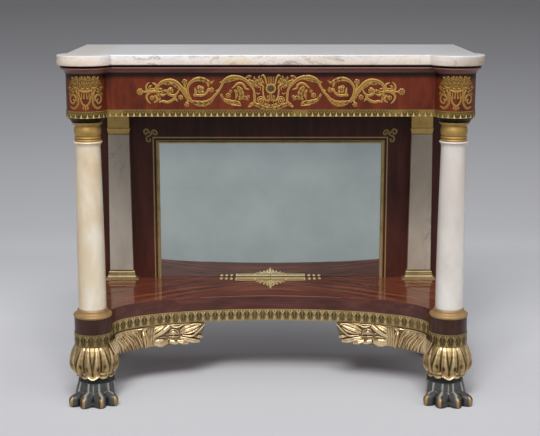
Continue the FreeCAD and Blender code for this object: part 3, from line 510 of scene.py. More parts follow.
# BAND_BRASS is paler than the frieze's brass: painted light, making up for the slab's shade on the shelf
BAND_BRASS = gilding("stamped_brass", "FFEAB2", "C8AC76", "4C3E26", 0.5, 2.0, 0.7, clay="927A4A")
# a darker copy of the stamped brass, for the bands round the plinths
PLINTH_BRASS = gilding("plinth_brass", "D6BC86", "A48C5C", "42341A", 0.5, 2.0, 0.7, clay="745F3A")
EDGE_BRASS = gilding("edge_brass", "F6DA92", "AE9050", "4C3A1C", 0.5, 2.0, 0.6)
LINE_BRASS = gilding("inlaid_brass", "BEA66C", "A28A54", "6A5632", 0.45, 2.0, 0.6)
print("gilding finishes:", TURNED_GILT.name, CARVED_GILT.name, STENCIL_GILT.name, BAND_BRASS.name)

# %% [markdown]
# ## Black polish, paint, glass, pine and iron
# The ebonised mouldings are maple stained black, and the thin board under the slab is black as a painted
# shadow of the slab's overhang. The paws were painted dark green-black to look like old bronze, with painted
# shade in their folds and a painted highlight on their ridges. The mirror's silvering has a faint grey veil,
# and its plate leans back by a little over a degree, which a tilted relief shows without turning the glass.
# The hidden joinery is raw pine and black iron.

# %% Ebonised wood, pine and iron
def streaked(stops, streak_mm, stretch, noise=(4.0, 0.55, 0.0), **surface):
    """A plain material whose colour drifts through the stops along its grain."""
    material, tree, shader = finish(**surface)
    cover(tree, shader, clouded(tree, drift(grain(tree, stretch), streak_mm, *noise), stops))
    return material


BLACK = streaked([(0.3, "0C0706"), (0.7, "1C1210")], 8.33, (0.2, 1.0, 1.0),
                 name="ebonised_black_and_painted_shadow", roughness=0.4, coat=0.02, coat_roughness=0.2, specular=0.1)
PINE = streaked([(0.3, "8A6A42"), (0.55, "A98858"), (0.75, "BC9B69")], 8.33, (1.0, 0.1, 1.0),
                (4.0, 0.6, 0.6), name="raw_pine", roughness=0.7)
IRON = streaked([(0.3, "3B3836"), (0.7, "5A5552")], 1.667, (1.0, 1.0, 1.0),
                name="forged_iron", roughness=0.55, metallic=1.0)
print("plain finishes:", BLACK.name, PINE.name, IRON.name)

# %% Paint and mirror glass
MIRROR_LEAN = 0.0215


def bronzed_paint():
    """Oil paint brushed over carving and waxed. It follows the hollow number: black in the folds as painted
    shade, and pale on the ridges as a painted highlight.
    """
    material, tree, shader = finish("bronzed_paint", 0.42, coat=0.12, coat_roughness=0.3, specular=0.4)
    cloth = add(tree, "TexNoise", drift(grain(tree), 3.125, 5.0, 0.6))
    hollow = add(tree, "Attribute", out="Fac", attribute_name="hollow")
    depth = add(tree, "Math", {0: cloth, 1: 0.3, 2: hollow}, operation="MULTIPLY_ADD")
    greens = [(0.06, "B2B1AC"), (0.27, "5C5B59"), (0.5, "3A3A39"), (0.9, "0A0A0A")]
    cover(tree, shader, add(tree, "ValToRGB", {"Fac": depth}, stops=greens), cloth, 0.2, 0.4)
    return material


def mirror_glass():
    """Old silvering behind glass. The relief falls by MIRROR_LEAN of the height, so the plate leans back."""
    material, tree, shader = finish("old_mirror", 0.03, metallic=1.0)
    veil = clouded(tree, drift(grain(tree), 71.4, 3.0), [(0.34, "D9E0E1"), (0.66, "E9EEEF")])
    height = add(tree, "SeparateXYZ", {"Vector": add(tree, "TexCoord", out="Object")}, "Z")
    cover(tree, shader, veil, product(tree, height, -MIRROR_LEAN), 1000.0)
    return material


PAINT, MIRROR = bronzed_paint(), mirror_glass()
print("finishes of the paws and the glass:", PAINT.name, MIRROR.name)

# %% [markdown]
# ## Pieces that keep their CAD shape
# Rails, boards, the mirror and the hidden joinery are plain boxes and strips, which CAD already has right.
# They only get their finish. A CAD piece that a finer one covers gets the same finish as the finer one.

# %% Dress the CAD pieces
CAD_FINISHES = {
    # the sub-top board is black as a painted shadow of the slab's overhang; the rear feet are ebonised
    BLACK: ["sub_top_board", "rear_foot_left", "rear_foot_right"],
    CORNICE_WOOD: ["cornice_front", "cornice_left", "cornice_right"],
    FRIEZE_WOOD: ["frieze_rail_front", "frieze_rail_left", "frieze_rail_right", "frieze_drum_left",
                  "frieze_drum_right"],
    BACK_WOOD: ["back_stile_left", "back_stile_right", "back_rail_top"],
    FASCIA_WOOD: ["shelf_side_left", "shelf_side_right"],
    PLINTH_WOOD: ["plinth_drum_left", "plinth_drum_right"],
    SHELF_WOOD: ["shelf_board", "back_rail_bottom"],
    GREY_MARBLE: ["pilaster_shaft_left", "pilaster_shaft_right"],
    MIRROR: ["mirror_plate"],
    PINE: ["mirror_backboard", "glue_blocks", "top_braces", "shelf_braces"],
    IRON: ["tie_rods", "tie_rod_nuts", "tie_rod_washers"],
    MARBLE: ["marble_top"],
    ALABASTER: ["column_shaft_left", "column_shaft_right"],
    TURNED_GILT: ["column_capital_left", "column_capital_right"],
    MATTE_GILT: ["column_base_left", "column_base_right"],
    CAP_GILT: ["pilaster_capital_left", "pilaster_capital_right"],
    BASE_GILT: ["pilaster_base_left", "pilaster_base_right"],
    SLIP_GILT: ["mirror_slip"],
    LINE_BRASS: ["mirror_stringing", "mirror_curls"],
    EDGE_BRASS: ["frieze_border_front", "drum_borders"],
    BAND_BRASS: ["shelf_border"],
    PLINTH_BRASS: ["plinth_borders"],
    CARVED_GILT: ["knee_left", "knee_right", "wing_left", "wing_right"],
    PAINT: ["paw_left", "paw_right"],
    CLAW_GILT: ["claws_left", "claws_right"],
}
for material, names in CAD_FINISHES.items():
    for name in names:
        for material_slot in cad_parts[name].material_slots:
            material_slot.material = material
print("dressed", sum(len(names) for names in CAD_FINISHES.values()), "of", len(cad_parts), "CAD pieces")

# %% [markdown]
# ## Turned work
# Columns, capitals, bases and soffits came off a lathe, so each is a profile of radius against height,
# carried round the column's axis. The profile is built from short runs: a straight line between two
# points, plus a swell that pushes its middle out (a bead) or pulls it in (a hollow).

# %% Lathe
def run(start, end, swell=0.0, count=9):
    """Points (radius, height) from start to end. The middle is pushed out by swell * sin(pi t)."""
    t = np.linspace(0, 1, count)
    radius = start[0] + (end[0] - start[0]) * t + swell * np.sin(np.pi * t)
    return np.column_stack([radius, start[1] + (end[1] - start[1]) * t])


def lathe(profile, x, y, steps=96):
    """A closed solid of revolution about the upright line through (x, y)."""
    angle = np.linspace(0, 2 * np.pi, steps, endpoint=False)
    radius, height = profile[:, :1], profile[:, 1:]
    points = [x + radius * np.cos(angle), y + radius * np.sin(angle), height + 0 * angle]
    return tube(np.stack(points, axis=-1))


print("a bead in a run of 5 points:", run((10, 0), (10, 4), 2.0, 5)[:, 0].round(1))

# %% [markdown]
# A shaft tapers upwards with a slight swell, flares a little under its ring, and ends in a half-round ring.
# The capital has two small rings, a bulge, a hollow neck and a flaring head. The base is a flat bead, a
# hollow and a fillet, and the black soffit over the capital is one long hollow.

# %% Profiles
plinth_top = box_mm("column_base_right")[0][2]
capital_foot, capital_head = (corner[2] for corner in box_mm("column_capital_right"))
SHAFT_FOOT_RADIUS, SHAFT_HEAD_RADIUS, RING_RADIUS = 37.2, 32.8, 38.0
ring_foot = SHAFT_HEAD - 5
SHAFT = np.concatenate([
    run((36.4, SHAFT_FOOT), (SHAFT_FOOT_RADIUS, SHAFT_FOOT + 4), 0.3, 5),
    run((SHAFT_FOOT_RADIUS, SHAFT_FOOT + 5), (SHAFT_HEAD_RADIUS, ring_foot - 12), 0.9, 40),
    run((SHAFT_HEAD_RADIUS, ring_foot - 11), (RING_RADIUS - 2.5, ring_foot - 0.5), -0.8, 8),
    run((RING_RADIUS - 1.5, ring_foot), (RING_RADIUS - 1.5, SHAFT_HEAD), 1.5, 10),
])
CAPITAL = np.concatenate([
    run((33.0, capital_foot), (33.0, capital_foot + 0.8), 0, 2),
    run((33.4, capital_foot + 1.2), (33.4, capital_foot + 5.6), 1.3, 7),
    run((31.4, capital_foot + 6.2), (31.4, capital_foot + 7.4), 0, 2),
    run((33.2, capital_foot + 8.0), (33.2, capital_foot + 12.4), 1.3, 7),
    run((31.2, capital_foot + 13.0), (31.2, capital_foot + 14.8), 0, 2),
    run((33.2, capital_foot + 15.4), (33.6, capital_foot + 36.5), 1.8, 17),
    run((32.4, capital_foot + 37), (33.4, capital_foot + 42.5), -0.9, 7),
    run((35.4, capital_foot + 43), (38.0, capital_foot + 46), 0.8, 7),
    run((38.6, capital_foot + 46.5), (38.6, capital_head), 1.2),
])
BASE = np.concatenate([
    run((50.0, plinth_top), (50.2, plinth_top + 7.5), 1.6, 11),
    run((49.2, plinth_top + 8), (41.6, plinth_top + 14.5), -1.8, 11),
    run((40.8, plinth_top + 15), (38.4, SHAFT_FOOT), 0.9),
])
SOFFIT = np.concatenate([
    run((41.0, capital_head), (51.4, FRIEZE_FOOT - 1), -1.6, 11),
    run((51.9, FRIEZE_FOOT - 0.8), (51.9, FRIEZE_FOOT), 0, 2),
])
print("points in the profiles:", len(SHAFT), len(CAPITAL), len(BASE), len(SOFFIT))

# %% Turn the columns
for side, sign in SIDES:
    for part, profile, material, slot, node in (
        ("shaft", SHAFT, ALABASTER, "alabaster", "column_shaft"),
        ("capital", CAPITAL, TURNED_GILT, "gilt", "column_capital"),
        ("base", BASE, MATTE_GILT, "gilt", "column_base"),
        ("soffit", SOFFIT, BLACK, "ebonised", "drum_soffit"),
    ):
        turned = lathe(profile, sign * COLUMN_X, COLUMN_Y)
        make_piece(f"turned_{part}_{side}", [turned], material, [f"{node}_{side}"])

# %% [markdown]
# ## Marble slab
# The slab's outline is straight at the front, the sides and the back, with a round turret over each
# column. Its edge is eased, so each level of the edge is the same outline pulled in by a little: lines
# move in by that distance, and each turret keeps its centre and loses it from its radius.

# %% Marble slab
slab_low, slab_high = box_mm("marble_top")
TURRET_RADIUS = COLUMN_Y - slab_low[1]
SLAB_OVERHANG, SLAB_EASE = 21.0, 2.6


def slab_outline(inset, steps=40):
    """The slab's outline as (n, 2) points, pulled in by inset."""
    radius, edge = TURRET_RADIUS - inset, SIDE_FACE + SLAB_OVERHANG - inset
    front = FRIEZE_FACE - SLAB_OVERHANG + inset
    start = math.atan2(front - COLUMN_Y, -math.sqrt(radius**2 - (front - COLUMN_Y) ** 2))
    end = math.atan2(math.sqrt(radius**2 - (edge - COLUMN_X) ** 2), edge - COLUMN_X)
    angle = np.linspace(start, end, steps)
    turret = np.column_stack([COLUMN_X + radius * np.cos(angle), COLUMN_Y + radius * np.sin(angle)])
    right = np.concatenate([turret, [[edge, slab_high[1] - inset]]])
    return np.concatenate([right, right[::-1] * [-1, 1]])


def eased_edge(foot, head, ease, count=6):
    """Levels (inset, height) up an edge whose two corners are rounded with radius ease."""
    turn = np.linspace(0, np.pi / 2, count)
    low = np.column_stack([ease * (1 - np.sin(turn)), foot + ease * (1 - np.cos(turn))])
    return np.concatenate([low, low[::-1] * [1, -1] + [0, foot + head]])


loops = []
for inset, height in eased_edge(slab_low[2], slab_high[2], SLAB_EASE):
    outline = slab_outline(inset)
    loops.append(np.column_stack([outline, np.full(len(outline), height)]))
make_piece("marble_slab", [tube(np.array(loops))], MARBLE, ["marble_top"], sharp=30)

# %% [markdown]
# ## Slip round the mirror
# The gilt slip round the glass is one small moulding, mitred at the two upper corners: the same section is
# set at each corner of the path, stretched along the diagonal.

# %% Slip
slip_low, slip_high = box_mm("mirror_slip")


def mirror_slip():
    """A half-round bead towards the opening with a small flat outside it, mitred round three sides."""
    turn = np.linspace(0, np.pi, 9)
    inward = np.concatenate([[0.0, 0.0, 1.6], 2.0 + 3.2 * (1 - np.cos(turn)), [8.9, 8.9]])
    back, flat = slip_high[1], PANEL_FACE - 0.6
    bead = PANEL_FACE - 0.2 - 2.6 * np.sin(turn)
    front = np.concatenate([[back, flat, flat], bead, [PANEL_FACE + 2.0, back]])
    half, foot, top = slip_high[0], slip_low[2], slip_high[2]
    # each corner's place, and which way is inwards along x and z
    places = ((-half, foot, 1, 0), (-half, top, 1, -1), (half, top, -1, -1), (half, foot, -1, 0))
    corners = []
    for x, z, x_way, z_way in places:
        corners.append(np.column_stack([x + x_way * inward, front, z + z_way * inward]))
    return tube(np.array(corners))


make_piece("gilt_mirror_slip", [mirror_slip()], SLIP_GILT, ["mirror_slip"], sharp=30)

# %% [markdown]
# ## Gilt ends of the pilasters
# A pilaster's cap and base are stacks of level rectangles. Where a moulding runs round three sides, its
# depth grows with its half width, so both are worked out from one profile.

# %% Stacks
def stack(levels, x, low, high):
    """Levels (half width, depth in front of the back, height above the foot) joined into one solid."""
    half, depth, height = np.array(levels).T
    front, back = np.maximum(high[1] - depth, low[1]), high[1] + 0 * half
    corners = [(x - half, front), (x + half, front), (x + half, back), (x - half, back)]
    return tube(np.stack([np.column_stack([px, py, low[2] + height]) for px, py in corners], axis=1))


def moulding(profile, spare):
    """Levels whose depth is the half width of each (half width, height) point, plus spare."""
    return [(half, half + spare, height) for half, height in profile]


print("a moulding of two levels:", moulding([(40, 0), (38, 5)], 2))

# %% Caps and bases
for side, sign in SIDES:
    low, high = box_mm(f"pilaster_capital_{side}")
    middle = (low[0] + high[0]) / 2
    deep = high[1] - low[1]
    cap = [(29.6, deep - 1.2, 0), (30.4, deep - 0.4, 1.2)]
    cap += moulding(run((30.5, 0), (33.0, 17), -0.6, 8)[1:], deep - 33)
    cap += [(33.0, deep, 18.6), (30.0, deep - 2.4, 19.0), (30.0, deep - 2.4, 20.4), (31.0, deep - 0.8, 20.8)]
    cap += [(31.0, deep - 0.8, high[2] - low[2])]
    solid = stack(cap, middle, low, high)
    make_piece(f"gilt_pilaster_cap_{side}", [solid], CAP_GILT, [f"pilaster_capital_{side}"], 30, 0.5)

    low, high = box_mm(f"pilaster_base_{side}")
    wide, deep = (high[0] - low[0]) / 2, high[1] - low[1]
    base = [(wide, deep, 0), (wide, deep, 15)]
    base += moulding(run((wide - 1, 15.4), (40.0, 26), -3.0, 9), deep - wide)
    base += moulding([(40.6, 26.4), (40.6, 28.4), (37.4, 28.8)], deep - wide)
    base += moulding(run((37.6, 29.4), (37.6, 36.5), 1.4, 9), deep - wide)
    base += moulding([(35.2, 37.0), (34.6, high[2] - low[2])], deep - wide)
    solid = stack(base, middle, low, high)
    make_piece(f"gilt_pilaster_base_{side}", [solid], BASE_GILT, [f"pilaster_base_{side}"], 30, 0.5)

# %% [markdown]
# ## Where ornament lies
# Bands and stencilled ornament are drawn on a flat strip first, with s along it and z up it, both in
# millimetres. A wrap then says where the point (s, z) is on the table and how far it stands proud: on the
# flat frieze or the panel round the mirror, round a drum, along the hollow of the shelf (a half ellipse),
# or on the top of the shelf.

# %% Flat wraps
def on_frieze(s, z, proud):
    """On the flat frieze: x = s, z = z, and proud counts towards the front."""
    return np.stack(np.broadcast_arrays(s, FRIEZE_FACE - proud, z), axis=-1)


def on_panel(s, z, proud):
    """On the flat panel round the mirror."""
    return np.stack(np.broadcast_arrays(s, PANEL_FACE - proud, z), axis=-1)


def on_shelf(s, depth, proud):
    """On top of the shelf. depth is measured forwards from the mirror."""
    return np.stack(np.broadcast_arrays(s, PANEL_FACE - depth, SHELF_TOP + proud), axis=-1)


print("the middle of the frieze's foot:", on_frieze(0.0, FRIEZE_FOOT, 0.0).round(1))

# %% Wrap round a drum
def on_drum(x, radius, middle=-90.0):
    """Round the drum on the axis (x, COLUMN_Y). s = 0 faces the direction middle, in degrees."""
    def wrap(s, z, proud):
        """The angle is middle + s / radius, and the reach is radius + proud."""
        angle = math.radians(middle) + s / radius
        reach = radius + proud
        px, py = x + reach * np.cos(angle), COLUMN_Y + reach * np.sin(angle)
        return np.stack(np.broadcast_arrays(px, py, z), axis=-1)

    return wrap


print("the front of the right drum:", on_drum(COLUMN_X, DRUM_RADIUS)(0.0, FRIEZE_FOOT, 0.0).round(1))

# %% Wrap along the shelf's hollow
# the half ellipse, measured once along its length
HOLLOW_TURN = np.linspace(np.pi, 0, 2000)
curve = np.column_stack([HOLLOW_HALF * np.cos(HOLLOW_TURN), HOLLOW_Y + HOLLOW_DEPTH * np.sin(HOLLOW_TURN)])
HOLLOW_RUN = np.concatenate([[0], np.cumsum(np.linalg.norm(np.diff(curve, axis=0), axis=1))])
HOLLOW_REACH = HOLLOW_RUN[-1] / 2


def on_hollow(s, z, proud):
    """Along the shelf's hollow front. s = 0 is the middle, and proud points out of the wood."""
    at = np.interp(s + HOLLOW_REACH, HOLLOW_RUN, HOLLOW_TURN)
    x, y = HOLLOW_HALF * np.cos(at), HOLLOW_Y + HOLLOW_DEPTH * np.sin(at)
    out = np.stack([-np.cos(at) / HOLLOW_HALF, -np.sin(at) / HOLLOW_DEPTH], axis=-1)
    out /= np.linalg.norm(out, axis=-1, keepdims=True)
    return np.stack(np.broadcast_arrays(x + proud * out[..., 0], y + proud * out[..., 1], z), axis=-1)


print("length of the hollow's edge:", round(2 * HOLLOW_REACH), "mm")

# %% [markdown]
# ## Front of the shelf
# The shelf's hollow edge is a bent rail with a straight-grained veneer on its face, and the flame veneer of
# the board runs out over its top. Both are one cross-section carried along the half ellipse. Where a drum
# stands in the way, each point is pushed straight out from the drum's axis until it clears the wood.

# %% Front of the shelf
DRUM_CLEARANCE = 50.6


def hollow_rail(section, steps=280):
    """A rail along the hollow front. section lists (z, proud) round it, and its points keep off the drums."""
    s = np.linspace(-HOLLOW_REACH, HOLLOW_REACH, steps)[:, None]
    z, proud = (np.array(column, float)[None, :] for column in zip(*section))
    points = on_hollow(s, z, proud)
    side = np.where(points[..., 0] < 0, -1.0, 1.0)
    axis = np.stack([side * COLUMN_X, np.full(side.shape, COLUMN_Y)], axis=-1)
    away = np.linalg.norm(points[..., :2] - axis, axis=-1, keepdims=True)
    points[..., :2] = axis + (points[..., :2] - axis) * np.maximum(1.0, DRUM_CLEARANCE / away)
    return tube(points)


joint = SHELF_TOP - 0.9
face = [(SHELF_FOOT + 0.1, -21), (SHELF_FOOT + 0.1, 0.05), (joint, 0.05), (joint, -21)]
make_piece("veneered_shelf_front", [hollow_rail(face)], FASCIA_WOOD, ["shelf_fascia"], 30)
joint, upper = SHELF_TOP - 0.85, SHELF_TOP + 0.05
edge = [(joint, -24), (joint, 0.2), (SHELF_TOP - 0.25, 0.25), (upper, -0.1), (upper, -24)]
make_piece("flame_veneer_edge", [hollow_rail(edge)], SHELF_WOOD, sharp=30)

# %% [markdown]
# ## Stamped brass bands
# A brass strip was rolled between engraved rollers, so the same small design comes again every few
# centimetres. The relief is a height from 0 to 1 at each (s, z), built with soft-edged shapes: a shape is
# the distance to its edge divided by half a millimetre, cut off at 0 and 1. High places stay bright, and
# the ground is dark with old wax.

# %% Soft shapes and the row of teeth
def shape(inside, soft=0.6):
    """0 outside, 1 inside, with a soft edge. inside is the distance to the edge, positive within."""
    return np.clip(inside / soft + 0.5, 0, 1)


def chevron(away, apex, slope, z):
    """A thin line where away = slope * (z - apex)."""
    return shape(0.9 - np.abs(away - slope * (z - apex)))


def teeth(s, z, period, high):
    """A row of pointed teeth on a foot line, a V hanging between each two, and a line on top."""
    away = np.abs((s / period) % 1 - 0.5) * period
    tooth = shape(3.1 * (1 - z / (0.72 * high)) - away)
    vee = chevron(period / 2 - away, 0.42 * high, 0.62, z)
    vee = vee * shape(z - 0.42 * high) * shape(0.86 * high - z)
    lines = np.maximum(shape(1.3 - z), shape(z - 0.9 * high))
    return np.maximum.reduce(np.broadcast_arrays(tooth, 0.7 * vee, 0.75 * lines, 0.2))


print("relief at a tooth's foot and beside it:", teeth(7.7, 1.5, 15.4, 17.5), teeth(4.0, 9.0, 15.4, 17.5))

# %% The row of ovals
def ovals(s, z, period, high):
    """A row of ribbed ovals in thin frames. Between two, a fork with two beads hangs and a tent stands."""
    aside = ((s / period) % 1 - 0.5) * period
    between = period / 2 - np.abs(aside)
    oval = np.hypot(aside / 9.2, (z - 0.47 * high) / (0.39 * high))
    rim = shape(0.7 - np.abs(oval - 1.0) * 9.0)
    ribs = 0.5 + 0.5 * np.cos(11 * np.arctan2(aside, z - 0.1 * high))
    beads = shape(1.7 - np.hypot(between - 3.6, z - 0.85 * high))
    fork = chevron(between, 0.60 * high, 0.62, z) * shape(z - 0.58 * high) * shape(0.84 * high - z)
    tent = shape(0.9 - np.abs(between - 3.4 * (1 - z / (0.42 * high))))
    tent = tent * shape(z - 0.04 * high) * shape(0.42 * high - z)
    lines = np.maximum(shape(1.2 - z), shape(z - 0.94 * high))
    marks = np.maximum.reduce(np.broadcast_arrays(0.5 * rim, beads, fork, tent, 0.75 * lines, 0.44))
    inside = shape((0.9 - oval) * 9)
    return marks * (1 - inside) + (0.10 + 0.30 * ribs) * inside


print("relief in the middle of an oval:", ovals(11.3, 10.0, 22.6, 21.0))

# %% A band of relief
def band(pattern, wrap, start, end, foot, high, period, across, upward, proud=0.35, thick=0.6):
    """A closed strip whose front follows the relief pattern. The period is fitted to the length.

    across and upward are the points to one period and to the height.
    """
    length = end - start
    count = max(1, round(length / period))
    s = np.linspace(0, length, count * across + 1)
    z = np.linspace(0, high, upward)
    relief = pattern(s[:, None], z[None, :], length / count, high)
    back_z = np.broadcast_to([foot + high, foot], (len(s), 2))
    section_z = np.concatenate([foot + np.broadcast_to(z, relief.shape), back_z], axis=1)
    section_out = np.concatenate([proud * relief, np.full((len(s), 2), -thick)], axis=1)
    shade = np.concatenate([1 - relief, np.ones((len(s), 2))], axis=1)
    return tube(wrap(np.broadcast_to(start + s[:, None], section_z.shape), section_z, section_out), shade)


BAND_FACE = 1.0  # the brass stands this far in front of the wood
# each design: its period in mm, and the points to one period and to the height
TEETH, OVALS = (15.4, 14, 19), (22.6, 20, 31)


def lifted(wrap):
    """The wrap of a face, taken to the front of the brass that lies on it."""
    return lambda s, z, proud: wrap(s, z, proud + BAND_FACE)


print("periods of the two designs in mm:", TEETH[0], OVALS[0])

# %% Straight band and shelf band
border_low, border_high = box_mm("frieze_border_front")
FRIEZE_BAND = border_high[2] - border_low[2]
half = border_high[0]
strip = band(teeth, lifted(on_frieze), -half, half, FRIEZE_FOOT, FRIEZE_BAND, *TEETH)
make_piece("brass_frieze_band", [strip], EDGE_BRASS, ["frieze_border_front"], 60)
half, high = HOLLOW_REACH, hollow_high[2] - hollow_low[2]
strip = band(ovals, lifted(on_hollow), -half, half, SHELF_FOOT, high, *OVALS)
make_piece("brass_shelf_band", [strip], BAND_BRASS, ["shelf_border"], 60)

# %% Bands round the drums and the plinths
drum_bands, plinth_bands = [], []
plinth_low, plinth_high = box_mm("plinth_borders")
radius, plinth_radius = DRUM_RADIUS + BAND_FACE, 50.5
# degrees from the front at which a drum's band meets the frieze on its inner side and the side rail on its
# outer side, and at which a plinth's band meets the shelf
INNER_END, OUTER_END, PLINTH_END = 86.6, 137.0, 111.0
inner, outer = math.radians(INNER_END) * radius, math.radians(OUTER_END) * radius
reach = math.radians(PLINTH_END) * plinth_radius
for side, sign in SIDES:
    first, last = (-outer, inner) if sign < 0 else (-inner, outer)
    wrap = on_drum(sign * COLUMN_X, radius)
    drum_bands.append(band(teeth, wrap, first, last, FRIEZE_FOOT, FRIEZE_BAND, *TEETH))
    wrap = on_drum(sign * COLUMN_X, plinth_radius)
    high = plinth_high[2] - plinth_low[2]
    plinth_bands.append(band(ovals, wrap, -reach, reach, plinth_low[2], high, *OVALS))
make_piece("brass_drum_bands", drum_bands, EDGE_BRASS, ["drum_borders"], 60)
make_piece("brass_plinth_bands", plinth_bands, PLINTH_BRASS, ["plinth_borders"], 60)

# %% [markdown]
# ## Stencilled gilding
# Bronze powder was dusted through cut stencils onto tacky varnish, and the scrolls were finished with a
# brush. Each stroke here is a smooth path through a few marks with a width that changes along it, and its
# section is a very low dome, so it catches light as thick gold does.

# %% Paths
def smooth_path(marks, count):
    """A Catmull-Rom curve through the marks, count points long."""
    marks = np.array(marks, float)
    padded = np.concatenate([[2 * marks[0] - marks[1]], marks, [2 * marks[-1] - marks[-2]]])
    t = np.linspace(0, len(marks) - 1, count)
    index = np.minimum(t.astype(int), len(marks) - 2)
    f = (t - index)[:, None]
    a, b, c, d = (padded[index + k] for k in range(4))
    return 0.5 * (2 * b + (c - a) * f + (2 * a - 5 * b + 4 * c - d) * f**2 + (3 * b - a - 3 * c + d) * f**3)


def spread(values, t):
    """A few values spread evenly from t = 0 to 1, with straight lines between them."""
    return np.interp(t, np.linspace(0, 1, len(values)), values)


def beside_path(path, half, across):
    """Points[along, across, (s, z)] at half * across to the left of the path."""
    ahead = np.gradient(path, axis=0)
    ahead /= np.linalg.norm(ahead, axis=1, keepdims=True)
    left = np.column_stack([-ahead[:, 1], ahead[:, 0]])
    return path[:, None, :] + left[:, None, :] * (half[:, None] * across)[..., None]


print("half way along a bent path:", smooth_path([(0, 0), (10, 0), (10, 10)], 5)[2].round(1))

# %% [markdown]
# A stroke with ribs is a leaf: its edge is notched, and the shade runs in veins. Small flowers close the
# scrolls. Both are closed solids with a hidden underside in the wood.

# %% Strokes
# a low dome across the stroke: how far across (-1 to 1) and how high (0 to 1), then the hidden underside
ACROSS = np.array([-1, -0.88, -0.62, -0.3, 0, 0.3, 0.62, 0.88, 1, 0.7, -0.7])
DOME = np.array([0, 0.62, 0.9, 0.98, 1, 0.98, 0.9, 0.62, 0, -0.5, -0.5])


def stroke(wrap, marks, widths, ribs=0, rise=0.5):
    """One closed stroke, rise high in the middle. widths are half widths, spread evenly along the path.

    With ribs, half width is multiplied by 1 - 0.22 cos^8(pi ribs t) and each rib darkens and dips.
    """
    length = np.abs(np.diff(np.array(marks), axis=0)).sum()
    count = int(max(12, length / 1.5, ribs * 12))
    t = np.linspace(0, 1, count)
    half = spread(widths, t)
    if ribs:
        half = half * (1 - 0.22 * np.cos(np.pi * ribs * t) ** 8)
    flat = beside_path(smooth_path(marks, count), half, ACROSS)
    height = rise * np.broadcast_to(DOME, (count, len(DOME))).copy()
    shade = 0.62 * (1 - np.abs(ACROSS)) * np.clip(half[:, None] / 3.5, 0, 1)
    if ribs:
        vein = np.cos(np.pi * ribs * (t[:, None] + 0.12 * np.abs(ACROSS))) ** 4
        shade = shade + 0.5 * vein * (np.abs(ACROSS) < 0.95)
        height = height * (1 - 0.3 * vein)
    return tube(wrap(flat[..., 0], flat[..., 1], height), np.clip(shade, 0, 1))


def mirrored(wrap, strokes, foot=0.0, rise=0.5):
    """Strokes (marks, widths, ribs) and their mirror images at s = 0, raised by foot."""
    solids = []
    for sign in (-1, 1):
        for marks, widths, ribs in strokes:
            solids.append(stroke(wrap, [(sign * s, foot + z) for s, z in marks], widths, ribs, rise))
    return solids


print("points in a 30 mm stroke:", len(stroke(on_frieze, [(0, 0), (15, 0), (30, 0)], [1, 2, 1])[0]))

# %% Flowers
def flower(wrap, s, z, radius, petals, rise=0.7):
    """A closed rosette: r = radius (1 - 0.16 cos^2(petals a / 2)) at the rim, with a boss in the middle."""
    angle = np.linspace(0, 2 * np.pi, petals * 8, endpoint=False)
    rim = radius * (1 - 0.16 * np.cos(petals * angle / 2) ** 2)
    share = np.array([0.02, 0.2, 0.32, 0.42, 0.7, 0.92, 1.0, 0.8, 0.02])[:, None]
    height = rise * np.array([1.3, 1.2, 0.7, 0.6, 1.0, 0.8, 0.0, -0.5, -0.5])[:, None]
    shade = np.array([0.1, 0.2, 0.9, 0.7, 0.2, 0.1, 0.3, 0.5, 0.5])[:, None]
    shade = np.clip(shade + 0.5 * np.cos(petals * angle / 2) ** 6 * (share > 0.4), 0, 1)
    out_s, out_z = s + share * rim * np.cos(angle), z + share * rim * np.sin(angle)
    return tube(wrap(out_s, out_z, np.broadcast_to(height, out_s.shape)), shade)


print("points in a flower of six petals:", len(flower(on_frieze, 0, 0, 8, 6)[0]))

# %% [markdown]
# The frieze carries three scrolls on each side of a lyre. A stencil was cut for one half and turned over
# for the other, so only the right half is listed. Each row holds the marks (s, z above the ornament's
# foot), the half widths spread along them, and the number of ribs.

